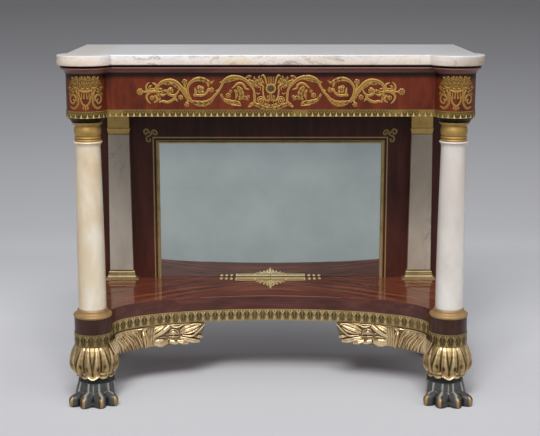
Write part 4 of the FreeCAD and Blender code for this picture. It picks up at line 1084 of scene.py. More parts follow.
# %% Scrolls on the frieze
ORNAMENT_FOOT = 790.0
FRIEZE_STROKES = [
    # the end of the scroll: a stalk with a pair of C curves above it and one below
    ([(330, 44), (318, 43.5), (306.5, 44), (294.5, 45)], [1.9, 2.6, 3.3, 2.6], 0),
    ([(310, 42.5), (320, 47.5), (322.5, 55.5), (319.5, 63.5), (313, 69)], [2.8, 2.6, 2.1, 0.7], 0),
    ([(307.5, 67), (299, 63.5), (296, 57.5), (301, 50.5), (307.5, 52.5)], [0.7, 2.6, 2.8, 2.4, 1.4], 0),
    ([(308.5, 49), (313.5, 52.5), (312.5, 57.5), (306.5, 60.5)], [2.8, 3.8, 2.8, 0.6], 2),
    ([(310, 43.5), (319, 37), (322, 29.5), (318, 20), (311, 13)], [2.8, 2.8, 2.6, 2.1, 0.6], 0),
    ([(301.5, 35.5), (295.5, 28.5), (295.5, 20.5), (303, 16)], [1.9, 2.6, 2.4, 0.9], 0),
    # the outer scroll: a stem that turns in on a flower, with leaves along it
    ([(294.5, 49), (291.5, 58.5), (284, 67), (270.5, 72), (256.5, 72), (244.5, 67), (234, 57.5),
     (224.5, 47), (217.5, 35.5), (210, 27.5)], [2.4, 3.1, 3.8, 4.5, 5.4, 5.4, 4.7, 3.8, 3.1, 2.4], 0),
    ([(282.5, 63.5), (275.5, 66.5), (265, 66.5), (255.5, 62.5)], [0.7, 4.2, 6.1, 0.7], 3),
    ([(259, 65.5), (249.5, 62.5), (241, 55.5), (240, 50.5)], [1.2, 5.2, 4.2, 0.5], 3),
    ([(240, 57.5), (231.5, 49), (223, 37), (215, 26), (204, 18)], [1.2, 3.1, 3.3, 3.5, 3.5], 0),
    ([(294.5, 48), (293.5, 39), (289.5, 28.5), (287.5, 15.5)], [2.1, 3.1, 3.8, 0.9], 3),
    ([(294.5, 47.5), (287.5, 50.5), (280, 52)], [2.6, 3.5, 0.6], 2),
    ([(289.5, 16.5), (280, 19.5), (270.5, 17), (261, 19), (251.5, 25), (246, 34.5)],
     [0.7, 2.8, 3.1, 3.3, 3.3, 2.4], 0),
    ([(253, 27.5), (247, 25), (241, 19)], [1.4, 3.3, 0.5], 0),
    ([(236.5, 52), (240, 44), (247, 36), (256.5, 34.5), (265, 39), (265.5, 47), (261, 52.5), (255.5, 54.5)],
     [0.6, 2.1, 2.6, 3.1, 3.3, 3.1, 2.6, 0.9], 0),
    ([(293.5, 44), (285, 41.5), (275.5, 46), (267, 46)], [1.9, 4.2, 3.5, 1.9], 3),
    ([(287.5, 39), (280, 34.5), (270.5, 39)], [0.9, 2.6, 0.9], 0),
    # two buds between the outer and the middle scroll
    ([(222, 63.5), (222.5, 55.5), (218.5, 46)], [3.1, 1.9, 1.4], 0),
    ([(217.5, 15.5), (215, 20), (210, 25)], [2.8, 2.1, 1.7], 0),
    # the middle scroll, which breaks into petals and an acanthus leaf
    ([(205.5, 20), (212.5, 32), (216, 46), (214.5, 57), (208, 67), (196, 75), (183, 77)],
     [2.8, 3.1, 3.1, 2.8, 3.3, 4.5, 5.7], 0),
    ([(189.5, 77), (177.5, 76), (165.5, 71.5), (156, 66.5), (146, 73.5)], [5.4, 5.9, 5.2, 3.5, 0.6], 4),
    ([(163.5, 70.5), (162.5, 62.5), (161, 55.5)], [2.6, 2.8, 0.9], 0),
    ([(196.5, 55), (195, 47.5), (194.5, 39), (198.5, 34.5), (190, 35), (179.5, 33)],
     [0.9, 2.8, 3.1, 2.6, 2.8, 2.8], 0),
    ([(184.5, 34), (174, 35.5), (165.5, 42.5), (162, 50.5), (152.5, 52.5)], [2.8, 2.8, 2.6, 2.1, 0.7], 0),
    ([(192, 55.5), (184.5, 57), (177.5, 53.5), (174, 47.5)], [0.9, 3.8, 4.0, 1.2], 2),
    ([(188.5, 44), (180, 41.5), (171.5, 45)], [1.2, 3.5, 1.2], 2),
    ([(206, 21), (195.5, 15.5), (184.5, 13.5), (173, 13.5), (162, 17.5), (152.5, 25), (144.5, 33)],
     [0.9, 5.9, 7.8, 7.8, 6.4, 4.7, 1.2], 5),
    ([(156, 21), (146.5, 33), (138.5, 41.5), (131.5, 50.5)], [3.5, 3.3, 2.8, 2.4], 0),
    ([(161, 47.5), (154, 46), (146.5, 48)], [0.9, 4.7, 0.9], 2),
    # the inner scroll round a horn of plenty
    ([(143, 46), (133.5, 50), (127.5, 59.5), (123, 69), (113.5, 77), (101.5, 81), (89.5, 82)],
     [0.7, 2.6, 2.8, 3.5, 4.7, 5.4, 5.0], 0),
    ([(133.5, 68), (123, 70), (111, 73.5), (99, 76), (84, 75.5)], [0.6, 3.5, 5.4, 5.2, 0.7], 4),
    ([(89.5, 82), (75.5, 79), (63.5, 72), (54, 62.5), (47, 53), (43.5, 44), (42, 29.5), (43.5, 18)],
     [5.0, 4.5, 3.5, 3.3, 2.8, 2.6, 2.6, 1.9], 0),
    ([(101, 52.5), (93.5, 58.5), (87.5, 64), (78, 66), (69.5, 61), (66, 53), (55.5, 49.5)],
     [0.9, 2.4, 2.8, 2.8, 2.8, 2.4, 0.7], 0),
    ([(86, 58.5), (82.5, 53), (79, 48), (75.5, 39), (78, 29.5), (82.5, 22.5)],
     [1.9, 5.9, 6.6, 5.9, 5.2, 2.4], 4),
    ([(94.5, 49.5), (89.5, 42.5), (88.5, 34.5), (92, 23.5)], [2.4, 3.5, 3.5, 1.2], 2),
    ([(84, 22.5), (75.5, 27.5), (66, 28.5), (57.5, 21.5)], [1.7, 4.5, 5.0, 0.9], 3),
    ([(120.5, 23.5), (112.5, 22.5), (103, 24)], [0.7, 2.1, 0.7], 0),
    ([(130, 39), (125.5, 29.5), (117, 21.5), (104, 16.5), (92, 16.5), (81.5, 14), (77.5, 7)],
     [2.6, 3.1, 4.7, 6.4, 5.4, 3.1, 0.7], 4),
    ([(103, 10), (91, 9), (78, 7.5)], [0.6, 1.9, 0.6], 0),
    # half of the lyre in the middle, with its sprays, strings, frets and foot
    ([(44.5, 48), (43.5, 34.5), (42, 20), (48, 12), (56.5, 3.5)], [1.7, 2.1, 2.6, 3.5, 1.4], 0),
    ([(27, 61.5), (20, 58), (20.5, 46), (18.5, 32), (12, 19)], [1.4, 2.0, 1.8, 2.0, 1.6], 0),
    ([(60, 74.5), (51.5, 71), (43.5, 64), (37.5, 54)], [0.9, 4.2, 4.7, 1.2], 3),
    ([(36.5, 77.5), (34, 69), (27, 61.5)], [0.9, 4.0, 0.9], 2),
    ([(25.5, 80.5), (24.5, 73), (16, 64)], [1.2, 3.8, 1.2], 2),
    ([(9.5, 60), (12.5, 70), (15, 80), (20, 86.5), (25, 84)], [1.6, 1.8, 2.2, 2.4, 0.8], 0),
    ([(23, 62), (29, 71), (31, 80), (29, 87)], [1.4, 3.4, 2.6, 0.6], 3),
    ([(27, 61), (36, 68), (42, 77), (43, 85)], [1.4, 3.4, 2.8, 0.6], 3),
    ([(33, 58), (44, 63), (52, 71), (58, 81)], [1.4, 3.2, 2.8, 0.6], 3),
    ([(66, 79), (58, 84), (49, 84)], [0.8, 3.0, 1.0], 2),
    ([(2, 63), (2, 73), (2.5, 83)], [0.6, 0.6, 0.6], 0),
    ([(6, 62.5), (6.5, 73), (7.5, 83)], [0.6, 0.6, 0.6], 0),
    ([(34, 53), (30, 57), (26, 53), (28, 47)], [0.7, 0.9, 0.9, 0.6], 0),
    ([(38, 42), (33, 38), (28, 42)], [0.6, 1.1, 0.6], 0),
    ([(0, 63.5), (8, 60), (11.5, 52), (8, 44), (0, 40.5)], [1.6, 1.7, 1.8, 1.7, 1.6], 0),
    ([(16, 22), (20, 29), (27, 31), (34, 27), (36, 19)], [0.8, 1.0, 1.1, 1.0, 0.8], 0),
    ([(2, 39), (2.5, 30), (3, 20)], [0.9, 0.9, 1.6], 0),
    ([(59, 4.5), (49.5, 12), (37.5, 10.5), (23, 4.5), (11.5, 1), (0, 0.5)], [0.9, 4.0, 5.4, 5.4, 5.0, 4.2],
     5),
    ([(16, 15.5), (9, 8.5), (0, 6)], [0.9, 3.8, 3.5], 2),
    ([(7, 36), (8.5, 26), (6, 14)], [0.9, 2.8, 1.2], 2),
]
# the right half of the flowers: s, z, radius, petals
FRIEZE_FLOWERS = [
    (338.5, 44, 9.0, 8), (307.5, 28, 6.5, 6), (259, 46, 7.5, 6), (233.5, 29.5, 6.8, 6),
    (222.5, 69.5, 7.5, 5), (218, 10.5, 6.5, 5), (182.5, 50, 8.0, 6), (110.5, 34.5, 7.0, 6),
    (25.5, 19.5, 8.5, 8), (58.5, 31.5, 4.5, 5), (152.5, 50, 5.5, 5), (104, 45, 4.5, 5),
    (17, 9.5, 3.4, 5), (8, 9.5, 3.6, 5), (38, 12, 3.0, 5),
]
scrolls = mirrored(on_frieze, FRIEZE_STROKES, ORNAMENT_FOOT)
for sign in (-1, 1):
    for s, z, radius, petals in FRIEZE_FLOWERS:
        scrolls.append(flower(on_frieze, sign * s, ORNAMENT_FOOT + z, radius, petals))
make_piece("stencilled_frieze_scrolls", scrolls, STENCIL_GILT, sharp=50)
medallion = flower(on_frieze, 0, ORNAMENT_FOOT + 52, 10.4, 10, 0.35)
make_piece("stencilled_frieze_medallion", [medallion], DULL_GILT, sharp=50)

# %% [markdown]
# The drums carry a basket of fruit on a footed bowl, with a lyre under it and a volute on each side. It
# faces a few degrees inwards, towards someone who stands in front of the table's middle. Half of it is
# listed, and the other half is the same marks with the opposite sign.

# %% Ornament on the drums
DRUM_ORNAMENT_TURN = 5.0
# the right half: marks (s, z above the ornament's foot), half widths, ribs
DRUM_STROKES = [
    ([(0, 55), (12, 55), (24, 57), (35, 62)], [3.0, 3.2, 2.8, 1.2], 0),
    ([(0, 48), (9, 49), (17, 53)], [2.6, 2.4, 0.8], 0),
    ([(22, 56), (32, 52), (42, 56), (50, 63)], [2.4, 4.4, 4.0, 0.8], 3),
    ([(40, 50), (46, 55), (53, 58)], [1.0, 2.6, 0.6], 0),
    ([(17, 54), (16.5, 42), (12, 26), (7, 16), (0, 12)], [1.4, 2.0, 2.2, 2.2, 1.4], 0),
    ([(27, 54), (22, 44), (21, 32), (19, 20), (25, 9), (34, 5), (45, 10)],
     [1.6, 2.8, 3.0, 2.6, 2.8, 2.8, 0.8], 0),
    ([(3, 47), (3.5, 38), (4.5, 30)], [1.0, 1.3, 2.6], 0),
    ([(10, 46), (9.5, 36), (11, 28)], [0.8, 1.2, 0.6], 0),
    ([(26, 24), (27, 34), (33, 40), (41, 38), (45, 30), (42, 21), (34, 18), (30, 24), (34, 29)],
     [1.6, 2.2, 2.6, 2.6, 2.6, 2.4, 2.0, 1.8, 1.0], 0),
    ([(30, 46), (38, 48), (46, 43), (50, 36)], [1.6, 3.2, 2.8, 0.6], 2),
    ([(4, 11), (6, 7), (5, 2)], [1.0, 2.4, 0.6], 0),
    ([(0, 12), (0, 6), (0, 0)], [1.2, 2.2, 0.6], 0),
    ([(6, 82), (8, 86), (7, 89)], [1.2, 2.0, 0.6], 0),
    ([(19, 82), (22, 86), (22, 88)], [1.2, 2.0, 0.6], 0),
    ([(31, 80), (36, 84), (38, 85)], [1.2, 2.0, 0.6], 0),
]
# the right half of the fruit: s, z, radius, lobes
DRUM_FRUIT = [
    (0, 76, 7.0, 6), (13, 77, 6.4, 5), (25, 76, 6.6, 6), (36, 74, 5.4, 5), (6.5, 66, 6.6, 8),
    (19, 66, 6.4, 6), (31, 66, 6.0, 5), (42, 67, 4.0, 5), (0, 58, 5.0, 5), (13, 58, 4.6, 5),
    (0, 84, 4.4, 5), (12, 84, 3.6, 5), (26, 84, 3.6, 5),
]
baskets = []
for side, drum_sign in SIDES:
    wrap = on_drum(drum_sign * COLUMN_X, DRUM_RADIUS, -90.0 - drum_sign * DRUM_ORNAMENT_TURN)
    baskets += mirrored(wrap, DRUM_STROKES, ORNAMENT_FOOT)
    for sign in (-1, 1):
        for s, z, radius, petals in DRUM_FRUIT:
            if s or sign > 0:
                baskets.append(flower(wrap, sign * s, ORNAMENT_FOOT + z, radius, petals, 0.9))
make_piece("stencilled_drum_baskets", baskets, DRUM_GILT, sharp=50)

# %% [markdown]
# The shelf carries half of a motif, and the mirror makes it whole: two bright bars beside the glass, a fan
# of leaves in the middle and three beads at each end.

# %% Ornament on the shelf
# the right half: marks (s, depth from the mirror), half widths, ribs
SHELF_STROKES = [
    ([(0, 5), (50, 5), (103, 5)], [1.8, 1.8, 1.8], 0),
    ([(0, 14), (50, 14), (103, 14)], [4.4, 4.4, 4.0], 0),
    ([(0, 34), (60, 34), (103, 34)], [4.6, 4.6, 4.0], 0),
    ([(102, 4), (102, 20), (102, 38)], [1.6, 1.6, 1.6], 0),
    ([(46, 3), (46, 20), (46, 40)], [2.2, 2.6, 2.2], 0),
    ([(0, 40), (0, 84), (0, 132)], [4.6, 4.2, 1.2], 0),
    ([(4, 50), (10, 80), (6, 104)], [2.0, 3.4, 0.8], 0),
    ([(8, 48), (18, 70), (19, 90)], [2.0, 3.4, 0.8], 0),
    ([(14, 47), (28, 60), (31, 74)], [2.0, 3.2, 0.8], 0),
    ([(20, 46), (34, 50), (42, 60)], [1.8, 3.0, 0.8], 0),
]
SHELF_BEADS = [(116, 18), (131, 17), (146, 16)]
shelf_motif = mirrored(on_shelf, SHELF_STROKES, rise=0.4)
beads = [([(s, 2), (s, depth), (s, 2 * depth - 4)], [0.8, 5.4, 0.8], 0) for s, depth in SHELF_BEADS]
shelf_motif += mirrored(on_shelf, beads)
make_piece("stencilled_shelf_palmette", shelf_motif, BRIGHT_GILT, sharp=50)

# %% [markdown]
# Curls of brass finish the inlaid line at the mirror's upper corners: three hooks that leave one point just
# outside the line's corner and close into loops.

# %% Corner curls
line_corner = box_mm("mirror_stringing")[1]
# marks from the line's corner, outwards and up
CORNER_HOOKS = [
    [(3.3, 7.8), (9, 12), (12.5, 18.5), (19.5, 23), (26, 17), (21.5, 9), (15.5, 11.5), (17, 16)],
    [(3.3, 7.8), (3.3, 15.5), (-4, 20.5), (-11.3, 14), (-10.5, 7.5), (-3, 8.5), (-1, 12.5), (-4.5, 14.5)],
    [(3.3, 7.8), (9, 4), (16, 1.5), (19, -5), (17, -12), (10, -13), (7, -7.5), (11.5, -5)],
]
hooks = []
for sign in (-1, 1):
    for marks in CORNER_HOOKS:
        marks = [(sign * (line_corner[0] - 1.0 + s), line_corner[2] + z) for s, z in marks]
        hooks.append(stroke(on_panel, marks, [1.4, 2.1, 2.3, 2.3, 2.0, 1.2], 0, 0.3))
make_piece("inlaid_mirror_curls", hooks, LINE_BRASS, ["mirror_curls"], 50)

# %% [markdown]
# The light catches the middle of the shelf's front arris in a hair-thin pale line, a painted highlight laid
# there as a strip of pale mahogany.

# %% Painted highlight on the arris
def arris_line(reach=200.0, width=1.0, proud=0.2):
    """A hair-thin pale strip along the shelf's front arris, a painted highlight. It narrows as cos(pi s /
    2.06 reach).
    """
    s = np.linspace(-reach, reach, 120)[:, None]
    across = width * np.cos(np.pi * s / (2.06 * reach)) * np.array([[0.0, -1.0, -1.0, 0.0]]) + 0.4
    up = np.array([[proud, proud, -1.0, -1.0]])
    return tube(on_hollow(s, SHELF_TOP + up, across))


make_piece("shelf_arris_highlight", [arris_line()], ARRIS_HIGHLIGHT_WOOD, sharp=30)

# %% [markdown]
# ## Carved knees
# Each front foot starts with a ball of eight acanthus leaves that hang down and curl out at their tips.
# In a level slice the ball is a curve r(angle): every leaf swells out, drops into a groove where it meets
# its neighbour, and has a midrib and two flutes. Rows of the grid follow the leaves' own edge instead of a
# level line, so the hem comes out scalloped. The front leaf is longer than the rest, and under the short
# ones a skirt shows, with fine rings cut round it.

# %% Ring of leaves
# leaf levels: share of the way from the top (0) to the leaf's tip (1), and the ball's radius there, for the
# front leaf, whose tip turns out, and for the others, whose tips tuck under
LEAF_SHARE = np.array([0.0, 0.10, 0.25, 0.42, 0.62, 0.78, 0.88, 0.94, 1.0])
FRONT_RADIUS = np.array([50.0, 54.5, 60.0, 64.5, 66.7, 63.5, 59.0, 58.0, 60.5])
SIDE_RADIUS = np.array([50.0, 54.5, 60.0, 64.5, 66.7, 65.2, 61.5, 58.0, 53.5])


def leaf_ring(x, y, front, top, tips, notch, steps=44, rows=56):
    """A ring of hanging leaves: r = R(row) - groove - midrib - flutes, z from the top to each leaf's edge.

    tips holds the height of each leaf's point, and notch how much higher the edge is between two leaves.
    Two cuts start either side of a broad midrib and meet three quarters of the way down.
    """
    leaves = len(tips)
    angle = np.linspace(0, 2 * np.pi, leaves * steps, endpoint=False)
    place = angle / (2 * np.pi) * leaves
    across = np.abs((place + 0.5) % 1 - 0.5) * 2
    tip = np.array(tips)[np.round(place).astype(int) % leaves]
    row = np.linspace(0, 1, rows)[:, None]
    opening = np.clip(row * 3.0, 0.3, 1)
    groove = 8.0 * opening * across**6
    narrowing = 0.46 * np.clip(1 - row / 0.75, 0, 1)
    midrib = 3.2 * opening * np.exp(-(((across - narrowing) / 0.10) ** 2)) * (row < 0.9)
    flute = 1.3 * opening * np.exp(-(((across - 0.62 - 0.08 * row) / 0.09) ** 2))
    fine = 0.5 * np.cos(9 * np.pi * (across - 0.12 * row)) ** 2 * (row > 0.6)
    eyelet = 3.4 * np.exp(-(((across - 0.60) / 0.13) ** 2) - ((row - 0.70) / 0.07) ** 2)
    is_front = tip == min(tips)
    front_ball, side_ball = (np.interp(row, LEAF_SHARE, radii) for radii in (FRONT_RADIUS, SIDE_RADIUS))
    ball = np.where(is_front, front_ball, side_ball)
    r = ball - groove - midrib - flute - fine - eyelet
    bracket = np.interp(across, [0, 0.2, 0.5, 0.8, 1], [0, 0.8, 5.5, 6.5, notch])
    lobes = notch * across**2.4 + 5.5 * np.exp(-(((across - 0.52) / 0.10) ** 2))
    edge = tip + np.where(is_front, bracket, lobes)
    z = top + (edge - top) * row
    shade = 0.08 * groove + 0.22 * midrib + 0.20 * flute + 0.2 * fine + 0.25 * eyelet
    # painted shade: darker low on the ball, where it turns under, and in the V between the cuts, which faces
    # the lamps
    shade = shade + 0.22 * np.exp(-(((row - 0.72) / 0.20) ** 2)) + 0.34 * (across < narrowing) + 0.04
    # painted highlight: the turned-out lips at the leaves' edges are paled
    shade = shade - 0.5 * (row > 0.94) * np.where(is_front, (across > 0.2) & (across < 0.75), 0.7)
    # the leaf turns under at its edge and the surface closes inside the ball
    under_r = np.stack([r[-1] - 3.0, r[-1] - 9.0, 0 * across + 38.0])
    under_z = np.stack([z[-1] - 0.8, z[-1] + 2.5, z[-1] + 8.0])
    r, z = np.concatenate([r, under_r]), np.concatenate([z, under_z])
    shade = np.concatenate([np.clip(shade, 0, 1), np.full(under_r.shape, 1.0)])
    turn = math.radians(front) + angle
    return tube(np.stack([x + r * np.cos(turn), y + r * np.sin(turn), z], axis=-1), shade)


print("widest radius of the ball:", max(SIDE_RADIUS))

# %% Skirt and knees
FOOT_TURN, SKIRT_TOP = 3.0, 96.0
# heights of the leaves' points, beginning with the front leaf
LEAF_TIPS = [70.5, 79.0, 76.0, 77.0, 76.0, 77.0, 76.0, 79.0]


def skirt(x, y, front):
    """The ring under the leaves: r = 50.6 + 1.2 sin(rings), its foot notched into twelve shallow scallops."""
    angle = np.linspace(0, 2 * np.pi, 288, endpoint=False)
    row = np.linspace(0, 1, 26)[:, None]
    scallop = np.abs(np.sin(6 * (angle - math.radians(front + 15))))
    z = SKIRT_TOP - (25.5 - 5.5 * (1 - scallop) ** 2) * row
    rings = np.sin(np.pi * 4.5 * row + 1.0)
    r = 50.6 + 1.2 * rings + 1.6 * scallop * row + 0 * angle
    shade = np.clip(0.35 - 0.3 * rings + 0.25 * (1 - scallop) + 0 * r, 0, 1)
    r = np.concatenate([r, r[-1:] - 5, r[-1:] - 14])
    z = np.concatenate([z, z[-1:] + 0.5, z[-1:] + 6])
    shade = np.concatenate([shade, np.ones((2, len(angle)))])
    return tube(np.stack([x + r * np.cos(angle), y + r * np.sin(angle), z], axis=-1), shade)


for side, sign in SIDES:
    x, front = sign * COLUMN_X, -90.0 - sign * FOOT_TURN
    ball = leaf_ring(x, COLUMN_Y, front, box_mm("knee_right")[1][2], LEAF_TIPS, 9.0)
    under = skirt(x - sign * 3.0, COLUMN_Y, front)
    make_piece(f"carved_knee_{side}", [ball, under], CARVED_GILT, [f"knee_{side}"], 70)

# %% [markdown]
# ## Lion's paws
# A paw is worked out in level slices as well. In each slice the radius is the ankle's (a circle that
# leans inwards as it rises), or further out where the slice cuts a toe. A toe is an ellipsoid: the ray from
# the axis enters and leaves it where a quadratic equation says, and the outer solution is the toe's
# surface. Just beside a toe the radius falls away quickly instead of jumping, which makes the cleft
# between two toes. Sinews run up from the toes as narrow ridges.

# %% Toes
# each toe: direction from straight ahead (degrees, outwards is negative), reach of its middle, half sizes
TOES = ((-37.5, 56.0, 34.0, 17.0, 24.0), (-12.6, 54.0, 36.0, 19.0, 25.0),
        (18.6, 54.0, 36.4, 19.0, 25.0), (45.5, 56.0, 34.0, 16.5, 25.0))
# sinews: direction, and how much of their full height they stand
SINEWS = ((-78.0, 0.7), (-50.0, 0.9), (-12.6, 1.0), (2.5, 0.45), (20.0, 1.0), (48.0, 0.9), (76.0, 0.7))
PAW_TOP, ANKLE_SHIFT = 84.0, 6.7


def toe_reach(turn, z, way, middle, half_long, half_wide, half_high, height):
    """Distance from the axis to a blunt ellipsoid's far side, falling away fast outside its shadow.

    (long / a)^2 + (wide / b)^2 + (high / c)^4 = 1; the fourth power makes the toe's front steep.
    """
    away = turn - way
    a = (np.cos(away) / half_long) ** 2 + (np.sin(away) / half_wide) ** 2
    nearest = middle * np.cos(away) / half_long**2 / a
    least = (middle / half_long) ** 2 + (np.abs(z - height) / half_high) ** 4 - a * nearest**2
    inside = np.clip(1 - least, 0, None)
    fade = np.exp(-1.5 * np.clip(least - 1, 0, 8))
    return (nearest + np.sqrt(inside / a)) * fade * (np.cos(away) > 0)


print("toes", len(TOES), "and sinews", len(SINEWS))

# %% [markdown]
# The ankle, the pad and the four toes are blended where they meet: r = log(sum of exp(b r_i)) / b is close
# to the largest of them, but rounds the creases between them. The surface is painted darker in the clefts
# and at the floor as painted shade, black under the knee as its painted shadow, and paler on the sinews as a
# painted highlight.

# %% Paw
TOE_FRONT = 87.8  # no toe reaches further forward of the column's axis


def paw(x, y, sign):
    """The whole paw as one closed surface r(angle, height). It also returns r and the two grids' values."""
    steps, rows = 320, 64
    turn = np.linspace(-np.pi, np.pi, steps, endpoint=False)[None, :]
    z = np.linspace(0, PAW_TOP, rows)[:, None]
    circle = np.interp(z, [0, 8, 22, 40, 56, 68, PAW_TOP], [50, 53, 53, 50.5, 47.5, 46.5, 46.5])
    shift = np.interp(z, [0, 20, 50], [1.5, 2.5, ANKLE_SHIFT])
    ankle = shift * np.sin(turn) + np.sqrt(circle**2 - (shift * np.cos(turn)) ** 2)
    sinew = np.zeros_like(ankle)
    for way, share in SINEWS:
        near = np.exp(-(((turn - math.radians(way)) / 0.055) ** 2))
        sinew += share * near * np.interp(z, [16, 30, 48, 62, 72, 84], [2.0, 5.0, 5.0, 3.6, 1.4, 0.6])
    # the pad joins the toes near the floor
    pad = (76.0 - 18.0 * (turn - 0.05) ** 2) * (np.abs(turn - 0.05) < 0.95)
    pad = pad * np.clip(1 - np.clip((z - 9) / 12, 0, 1) ** 2, 0, 1)
    toes = []
    for way, middle, half_long, half_wide, half_high in TOES:
        toes.append(toe_reach(turn, z, math.radians(way), middle, half_long, half_wide, half_high, 9.0))
    layers = np.stack([ankle + sinew, pad] + toes)
    blend = 0.5
    r = np.log(np.exp(blend * (layers - 50)).sum(axis=0)) / blend + 50
    limit = TOE_FRONT / np.clip(np.cos(turn), 0.3, 1)
    r = np.minimum(r, limit) - 1.6 * np.exp(-((z / 2.0) ** 2))
    by_size = np.sort(np.stack(toes), axis=0)
    cleft = np.exp(-(((by_size[-1] - by_size[-2]) / 10) ** 2)) * np.clip((by_size[-2] - 46) / 12, 0, 1)
    # painted shade in clefts and at the floor, painted shadow under the knee, painted highlight on sinews
    shade = 0.6 * cleft + 0.35 * np.exp(-((z / 6) ** 2)) + 1.2 * np.clip((z - 56.5) / 4, 0, 1)
    shade = np.clip(shade + 0.30 - 0.12 * sinew, 0, 1)
    angle = np.radians(-90) + sign * turn
    points = [x + r * np.cos(angle), y + r * np.sin(angle), z + 0 * turn]
    return tube(np.stack(points, axis=-1), shade), r, turn[0], z[:, 0]


print("height of a paw:", PAW_TOP, "mm")

# %% [markdown]
# A claw comes out of a dark sheath on the toe's front and curves down to the floor. Both are tapering horns
# that lean on the toe's own surface, so they follow it wherever it is.

# %% Claws
def horn(x, y, sign, way, out, height, half_wide, half_deep, shade, beside=0.0):
    """A tapering solid along (out, height) in the upright plane of direction way, elliptical in section.

    beside moves it sideways.
    """
    around = np.linspace(0, 2 * np.pi, 28, endpoint=False)
    forward = out[:, None] + half_deep[:, None] * np.cos(around)
    aside = beside + half_wide[:, None] * np.sin(around)
    angle = math.radians(-90) + sign * way
    px = x + forward * math.cos(angle) - sign * aside * math.sin(angle)
    py = y + forward * math.sin(angle) + sign * aside * math.cos(angle)
    # painted shade: the horn is darker on its flanks, which turn away from the light
    shade = np.clip(shade[:, None] + 0.35 * np.abs(np.sin(around)) ** 6, 0, 1)
    return tube(np.stack([px, py, height[:, None] + 0 * px], axis=-1), shade)


def claw(x, y, sign, way, levels, surface):
    """A claw in its sheath. Both follow the toe's front, and their half width is w sin(a + b t)."""
    t = np.linspace(0, 1, 28)
    limit = (TOE_FRONT + 0.7) / math.cos(way)
    height = 28.0 - 25.5 * t
    wide = 6.0 * np.sin(np.pi * (0.13 + 0.68 * t)) ** 0.8
    out = np.minimum(np.interp(height, levels, surface) + 2.2 * np.sin(np.pi * (0.05 + 0.80 * t)), limit)
    core = horn(x, y, sign, way, out - 0.9 * wide, height, wide, 0.9 * wide, 0.05 + 0.3 * t)
    height = 31.0 - 25.0 * t
    wide = 7.4 * np.sin(np.pi * (0.10 + 0.76 * t)) ** 0.8
    out = np.minimum(np.interp(height, levels, surface) + 1.0 * np.sin(np.pi * (0.1 + 0.8 * t)), limit - 0.8)
    beside = 2.6 if way > 0.6 else -2.6
    sheath = horn(x, y, sign, way, out - 0.5 * wide, height, wide, 0.5 * wide, 0.9 + 0 * t, beside)
    return [core, sheath]


print("claws to a paw:", len(TOES))

# %% Make the paws
for side, sign in SIDES:
    solid, r, turn, levels = paw(sign * COLUMN_X, COLUMN_Y, -sign)
    make_piece(f"carved_paw_{side}", [solid], PAINT, [f"paw_{side}"], 70)
    horns = []
    for way, *_ in TOES:
        way = math.radians(way)
        surface = np.array([np.interp(way, turn, level) for level in r])
        horns += claw(sign * COLUMN_X, COLUMN_Y, -sign, way, levels, surface)
    make_piece(f"gilt_claws_{side}", horns, CLAW_GILT, [f"claws_{side}"], 60)

# %% [markdown]
# ## Carved wings
# A winged bracket joins each knee to the shelf: feathers behind the knee, a ribbed collar, and leaves
# that run out to a point. It is built as a carver would see it. A plain core follows the curve of the
# shelf, and blades lie on the core. A blade is like a stencilled stroke but stands millimetres proud:
# its section is a rounded back with a crease along the middle, and its tip may lift off the core.

# %% Blades
HALF_ACROSS = np.array([0.12, 0.28, 0.48, 0.68, 0.85, 0.96, 1])
BLADE_ACROSS = np.concatenate([-HALF_ACROSS[::-1], [0], HALF_ACROSS])


def blade(wrap, marks, widths, rise, lift=(0.0, 0.0), ribs=0, crease=0.45, sink=5.0):
    """One carved leaf. Height = lift + rise sqrt(1 - |u|^2.4) (1 - crease near the middle), cut by ribs.

    u runs from -1 to 1 across it, and its underside lies sink below the wrap's surface.
    """
    length = np.abs(np.diff(np.array(marks), axis=0)).sum()
    count = int(max(16, length / 1.2, ribs * 9))
    t = np.linspace(0, 1, count)
    notch = np.cos(np.pi * (ribs * t + 0.5)) ** 12 if ribs else 0 * t
    half = spread(widths, t) * (1 - 0.22 * notch)
    u = BLADE_ACROSS
    back = np.sqrt(np.clip(1 - np.abs(u) ** 2.4, 0, 1)) * (1 - crease * np.exp(-((u / 0.16) ** 2)))
    scale = np.clip(half / max(widths), 0.25, 1)[:, None]
    base = spread(lift, t)[:, None]
    height = base + rise * scale * back
    # painted shade: the blade darkens towards its edges, where it dips into the core, and along its crease
    shade = 0.85 * np.abs(u) ** 6 + 0.7 * crease * np.exp(-((u / 0.13) ** 2))
    shade = np.broadcast_to(shade, height.shape)
    if ribs:
        vein = np.cos(np.pi * (ribs * (t[:, None] - 0.06 * np.abs(u)) + 0.5)) ** 10
        height = height - 0.35 * rise * scale * vein * np.clip(np.abs(u) * 2.5, 0, 1)
        shade = shade + 0.6 * vein
    flat = beside_path(smooth_path(marks, count), half, np.concatenate([u, [0.7, -0.7]]))
    height = np.concatenate([height, np.broadcast_to(base - sink, (count, 2))], axis=1)
    shade = np.concatenate([shade, np.ones((count, 2))], axis=1)
    return tube(wrap(flat[..., 0], flat[..., 1], height), np.clip(shade, 0, 1))


print("points across a blade:", len(BLADE_ACROSS))

# %% [markdown]
# The leaves are listed one by one, because no two of them are alike: those at the tip, those in the middle,
# and those along the rim. Distances are measured along the shelf's curve from its middle, heights from the
# floor. Each row holds the marks (s, z), half widths, rise, lift along the leaf, ribs and crease.

